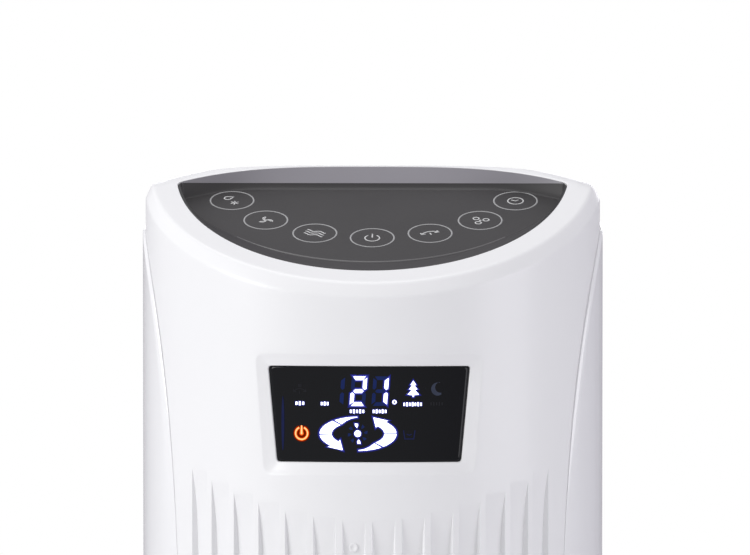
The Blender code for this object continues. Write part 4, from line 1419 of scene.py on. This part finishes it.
def make_unlit_icons():
    """Moon, swing sign and tank sign, switched off, and a streak of stray light."""
    outer = [(math.cos(t) * 4.1, math.sin(t) * 4.1)
             for t in spread(math.radians(70.0), math.radians(305.0), 16)]
    inner = [(1.7 + math.cos(t) * 3.3, 1.0 + math.sin(t) * 3.3)
             for t in spread(math.radians(280.0), math.radians(95.0), 16)]
    moon = []
    for index in range(15):
        moon.append([outer[index], outer[index + 1], inner[14 - index], inner[15 - index]])
    show("moon_unlit", moved(moon, (43.2, 15.6)), DIM_GREY)
    swing = swing_icon(4.4, 0.7)
    swing.append([(-1.2, 2.6), (1.2, 2.6), (1.2, 4.8), (-1.2, 4.8)])
    tank = stroke([(-3.6, 2.6), (-2.8, -2.8), (2.8, -2.8), (3.6, 2.6)], 0.7)
    tank += stroke([(-1.6, 0.2), (0.0, -0.5), (1.6, 0.2)], 0.6)
    show("swing_unlit", moved(swing, (-43.5, 14.0)), FAINT)
    show("tank_unlit", moved(tank, (25.4, -12.6)), DIM_FAINT)
    streak = [(-54.3 + 0.9 * math.cos(t), -6 + 17 * math.sin(t))
              for t in spread(0.0, math.tau, 25)[:-1]]
    show("light_leak", [streak], DIM_FAINT)


make_lens()
make_digits()
make_labels()
make_tree()
make_power_light()
make_swirl()
make_unlit_icons()


# ---------------------------------------------------------------- side panels and back

PANEL_GAP = 0.5 * MM
EDGE_TOP = 3.6 * MM
EDGE_LOW = 34.0 * MM
GRILLE_HALF, GRILLE_BOTTOM, GRILLE_TOP = 86 * MM, 0.29, 0.87
BAY_HALF, BAY_BOTTOM, BAY_TOP = 95.5 * MM, 73.5 * MM, 263.5 * MM
LOUVRES = 58


def panel_proud(distance, height):
    """How far a side panel stands out at a distance from its seam."""
    drop = SIDE_TOP - height
    reach = mix(EDGE_TOP, EDGE_LOW, ease((drop - 0.055) / 0.30))
    return SIDE_PROUD * (1.0 - (1.0 - min(distance / reach, 1.0)) ** 2)


def make_side_panel(name, side):
    """A side panel with a rounded front edge that fades as it runs down."""
    heights = [SIDE_TOP - drop * MM for drop in
               (0.0, 0.5, 1.2, 2.2, 3.6, 5.5, 8, 11, 15, 20, 26, 34, 43, 54, 66, 80, 96, 115,
                140, 170, 205, 250, 310, 400, 520, 700, 900)]
    heights = [height for height in heights if height > BOTTOM + 5 * MM]
    heights += [BOTTOM + 3 * MM, BOTTOM + 1 * MM, BOTTOM]
    rows = []
    for height in heights:
        start = seam_angle(height) + PANEL_GAP / RADIUS
        row = []
        near = [step * MM / RADIUS for step in (0.0, 0.4, 0.9, 1.6, 2.5, 3.6, 5.0, 7.0, 10.0)]
        far = spread(start + near[-1], REAR_SPLIT, 34)[1:]
        for angle in [start + step for step in near] + far:
            proud = panel_proud((angle - start) * RADIUS, height)
            proud -= 0.5 * MM * (1.0 - min((SIDE_TOP - height) / (1.6 * MM), 1.0)) ** 2
            row.append((*plan_point(side * angle, proud), height))
        rows.append(row if side > 0 else row[::-1])
    build = Builder()
    build.loft(rows)
    panel = make_object(name + "_skin", build.vertices, build.faces, SIDE_WHITE, "column", 40.0)
    thicken(panel, WALL)
    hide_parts(name)


def rear_angle(x):
    """Plan angle, past the side, at which the rear wall is a given distance from the middle."""
    return math.pi / 2 + math.acos((x / RADIUS) ** (REAR_POWER / 2))


def make_rear_housing():
    """Rear housing with its grille opening and tank bay."""
    gap = 1.7 * MM / REAR_DEPTH
    half = spread(REAR_SPLIT + gap, rear_angle(BAY_HALF), 10)
    half += [rear_angle(GRILLE_HALF)]
    half += spread(rear_angle(GRILLE_HALF), math.pi, 13)[1:]
    angles = half + [math.tau - angle for angle in reversed(half[:-1])]
    bay_left, bay_right = 9, len(angles) - 10
    grille_left, grille_right = 10, len(angles) - 11
    heights = [SIDE_TOP, SIDE_TOP - 1 * MM, SIDE_TOP - 3 * MM, 0.95, GRILLE_TOP, GRILLE_BOTTOM,
               BAY_TOP, BAY_BOTTOM, BOTTOM + 3 * MM, BOTTOM]
    rows = []
    for height in heights:
        inwards = 0.4 * MM if height == SIDE_TOP else 0.0
        rows.append([(*plan_point(math.remainder(a, math.tau), -inwards), height)
                     for a in angles])

    def skip(level, index):
        in_grille = heights[level] == GRILLE_TOP and grille_left <= index < grille_right
        in_bay = heights[level] == BAY_TOP and bay_left <= index < bay_right
        return in_grille or in_bay

    build = Builder()
    build.loft(rows, skip=skip)
    housing = make_object("rear_housing_skin", build.vertices, build.faces, WHITE, "column",
                          40.0)
    thicken(housing, WALL)
    bevel(housing, 0.5 * MM, 60.0)
    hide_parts("rear_housing")


def rear_strip(half, section):
    """Rows that sweep a small section of (inwards, height) points across the back."""
    start = rear_angle(half)
    angles = [math.remainder(a, math.tau) for a in spread(start, math.tau - start, 25)]
    return [[(*plan_point(a, -inwards), height) for a in angles] for inwards, height in section]


def solid_sweep(build, rows):
    """Close a swept section: four sides and two ends."""
    rings = build.loft(rows + [rows[0]])
    build.faces.append(tuple(ring[0] for ring in reversed(rings[:-1])))
    build.faces.append(tuple(ring[-1] for ring in rings[:-1]))


def make_grille():
    """Pull-off rear grille: a frame, tilted louvres and a few uprights."""
    build = Builder()
    half = GRILLE_HALF - 1.0 * MM
    low, high = GRILLE_BOTTOM + 1.0 * MM, GRILLE_TOP - 1.0 * MM
    pitch = (high - low - 16 * MM) / LOUVRES
    for index in range(LOUVRES + 1):
        z = low + 8 * MM + pitch * index
        section = [(0.6 * MM, z), (4.6 * MM, z + 2.6 * MM), (5.0 * MM, z + 1.4 * MM),
                   (1.0 * MM, z - 1.2 * MM)]
        solid_sweep(build, rear_strip(half - 4 * MM, section))
    for z_low, z_high in ((low, low + 7 * MM), (high - 7 * MM, high)):
        section = [(0.0, z_low + 0.6 * MM), (0.0, z_high - 0.6 * MM), (0.8 * MM, z_high),
                   (4.5 * MM, z_high), (4.5 * MM, z_low), (0.8 * MM, z_low)]
        solid_sweep(build, rear_strip(half, section))
    for x in spread(-half + 3.5 * MM, half - 3.5 * MM, 9):
        edge = abs(x) > half - 5 * MM
        wide = 3.5 * MM if edge else 1.3 * MM
        depth = (0.0, 4.5 * MM) if edge else (1.8 * MM, 6.0 * MM)
        add_upright(build, x, wide, depth, low, high)
    grille = make_object("intake_grille", build.vertices, build.faces, WHITE, "filter", 30.0)
    fix_normals(grille)
    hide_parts("filter_frame")


def add_upright(build, x, wide, depth, low, high):
    """An upright bar on the curved back."""
    corners = []
    for offset, inwards in ((-wide, depth[0]), (wide, depth[0]), (wide, depth[1]),
                            (-wide, depth[1])):
        place = x + offset
        angle = rear_angle(abs(place))
        spot = plan_point(math.copysign(angle, place), -inwards)
        corners.append((place, spot[1]))
    rows = [[(*corner, height) for corner in corners] for height in (high, low)]
    rings = build.loft(rows, closed=True)
    build.faces.append(tuple(rings[0]))
    build.faces.append(tuple(reversed(rings[1])))


def fix_normals(obj):
    """Turn every face of closed shells outwards."""
    with editing(obj) as work:
        bmesh.ops.recalc_face_normals(work, faces=work.faces)


make_side_panel("right_side_panel", 1)
make_side_panel("left_side_panel", -1)
make_rear_housing()
make_grille()
make_pin()


# ---------------------------------------------------------------- finishes of the CAD parts

FINISHES = {
    "white_plastic": WHITE, "dark_panel": DARK, "smoked_lens": LENS, "black_plastic": BLACK,
    "grey_plastic": GREY, "clear_tank": TANK, "rubber": RUBBER, "zinc_steel": STEEL,
    "cast_iron": IRON, "circuit_board": BOARD, "cooling_paper": PAPER, "filter_mesh": MESH,
    "acetal": NATURAL, "bronze": BRONZE,
}


def finish_frame():
    """Give every CAD node the procedural material of its slot."""
    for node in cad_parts.values():
        for index, old in enumerate(list(node.data.materials)):
            for name, material in FINISHES.items():
                if old.name.split(".")[0].endswith(name):
                    node.data.materials[index] = material


finish_frame()


# ---------------------------------------------------------------- studio

def make_camera():
    """Long-lens camera a little above the rim, in front of the fan."""
    camera = bpy.data.objects.new("camera", bpy.data.cameras.new("camera"))
    bpy.context.scene.collection.objects.link(camera)
    bpy.context.scene.camera = camera
    target = Vector((0.0014, 0.0, 0.9890))
    azimuth, elevation, distance = math.radians(1.0), math.radians(5.4), 8.0
    back = Vector((math.sin(azimuth) * math.cos(elevation),
                   -math.cos(azimuth) * math.cos(elevation), math.sin(elevation)))
    camera.location = target + back * distance
    camera.rotation_euler = back.to_track_quat("Z", "Y").to_euler()
    camera.data.sensor_width = 36.0
    camera.data.lens = 36.0 * distance / 0.4725
    camera.data.clip_end = 60.0


def area_light(name, place, aim, size, power, colour=(1.0, 1.0, 1.0)):
    """A soft rectangular lamp aimed at a point."""
    data = bpy.data.lights.new(name, "AREA")
    data.shape = "RECTANGLE"
    data.size, data.size_y = size
    data.energy = power
    data.color = colour
    lamp = bpy.data.objects.new(name, data)
    lamp.location = place
    lamp.rotation_euler = (Vector(place) - Vector(aim)).to_track_quat("Z", "Y").to_euler()
    bpy.context.scene.collection.objects.link(lamp)


def make_world():
    """White behind the object for the camera, softer light for the surfaces."""
    world = bpy.data.worlds.new("studio")
    bpy.context.scene.world = world
    world.use_nodes = True
    tree = world.node_tree
    tree.nodes.clear()
    output = tree.nodes.new("ShaderNodeOutputWorld")
    seen = add_node(tree, "ShaderNodeBackground", Color=(1.0, 1.0, 1.0, 1.0), Strength=1.0)
    light = add_node(tree, "ShaderNodeBackground", Strength=0.68)
    coordinates = tree.nodes.new("ShaderNodeTexCoord")
    side = add_node(tree, "ShaderNodeVectorMath", operation="DOT_PRODUCT")
    side.inputs[1].default_value = Vector((-0.62, -0.62, 0.48)).normalized()
    tree.links.new(coordinates.outputs["Generated"], side.inputs[0])
    facing = remap(tree, side.outputs["Value"], 0.0, 1.0, -0.9, 0.9)
    shade = blend_colours(tree, facing, (0.56, 0.54, 0.60), (1.0, 1.0, 1.0))
    tree.links.new(shade, light.inputs["Color"])
    choose = tree.nodes.new("ShaderNodeMixShader")
    path = tree.nodes.new("ShaderNodeLightPath")
    tree.links.new(path.outputs["Is Camera Ray"], choose.inputs["Fac"])
    tree.links.new(light.outputs["Background"], choose.inputs[1])
    tree.links.new(seen.outputs["Background"], choose.inputs[2])
    tree.links.new(choose.outputs["Shader"], output.inputs["Surface"])


def make_floor():
    """Plain pale floor."""
    sides, reach = 96, 2.2
    turns = [math.tau * index / sides for index in range(sides)]
    mesh = bpy.data.meshes.new("studio_floor")
    mesh.from_pydata([(reach * math.cos(t), reach * math.sin(t), 0.0) for t in turns], [],
                     [tuple(range(sides))])
    floor = bpy.data.objects.new("studio_floor", mesh)
    bpy.context.scene.collection.objects.link(floor)
    paint(floor, plastic("pale_floor", (0.86, 0.86, 0.87), 0.6, 60.0, 0.01))


make_camera()
make_world()
make_floor()
area_light("key", (-2.7, -1.5, 1.7), (0.0, 0.0, 0.95), (1.4, 1.4), 42.0)
area_light("fill", (2.7, -1.0, 1.2), (0.0, 0.0, 0.8), (1.6, 1.6), 20.0, (0.97, 0.96, 1.0))
area_light("top", (-0.2, 0.1, 2.6), (0.0, 0.0, 1.0), (1.2, 1.2), 8.0)
area_light("back", (0.3, 2.6, 1.4), (0.0, 0.0, 0.8), (1.8, 1.0), 12.0)
bpy.context.scene.view_settings.view_transform = "Standard"
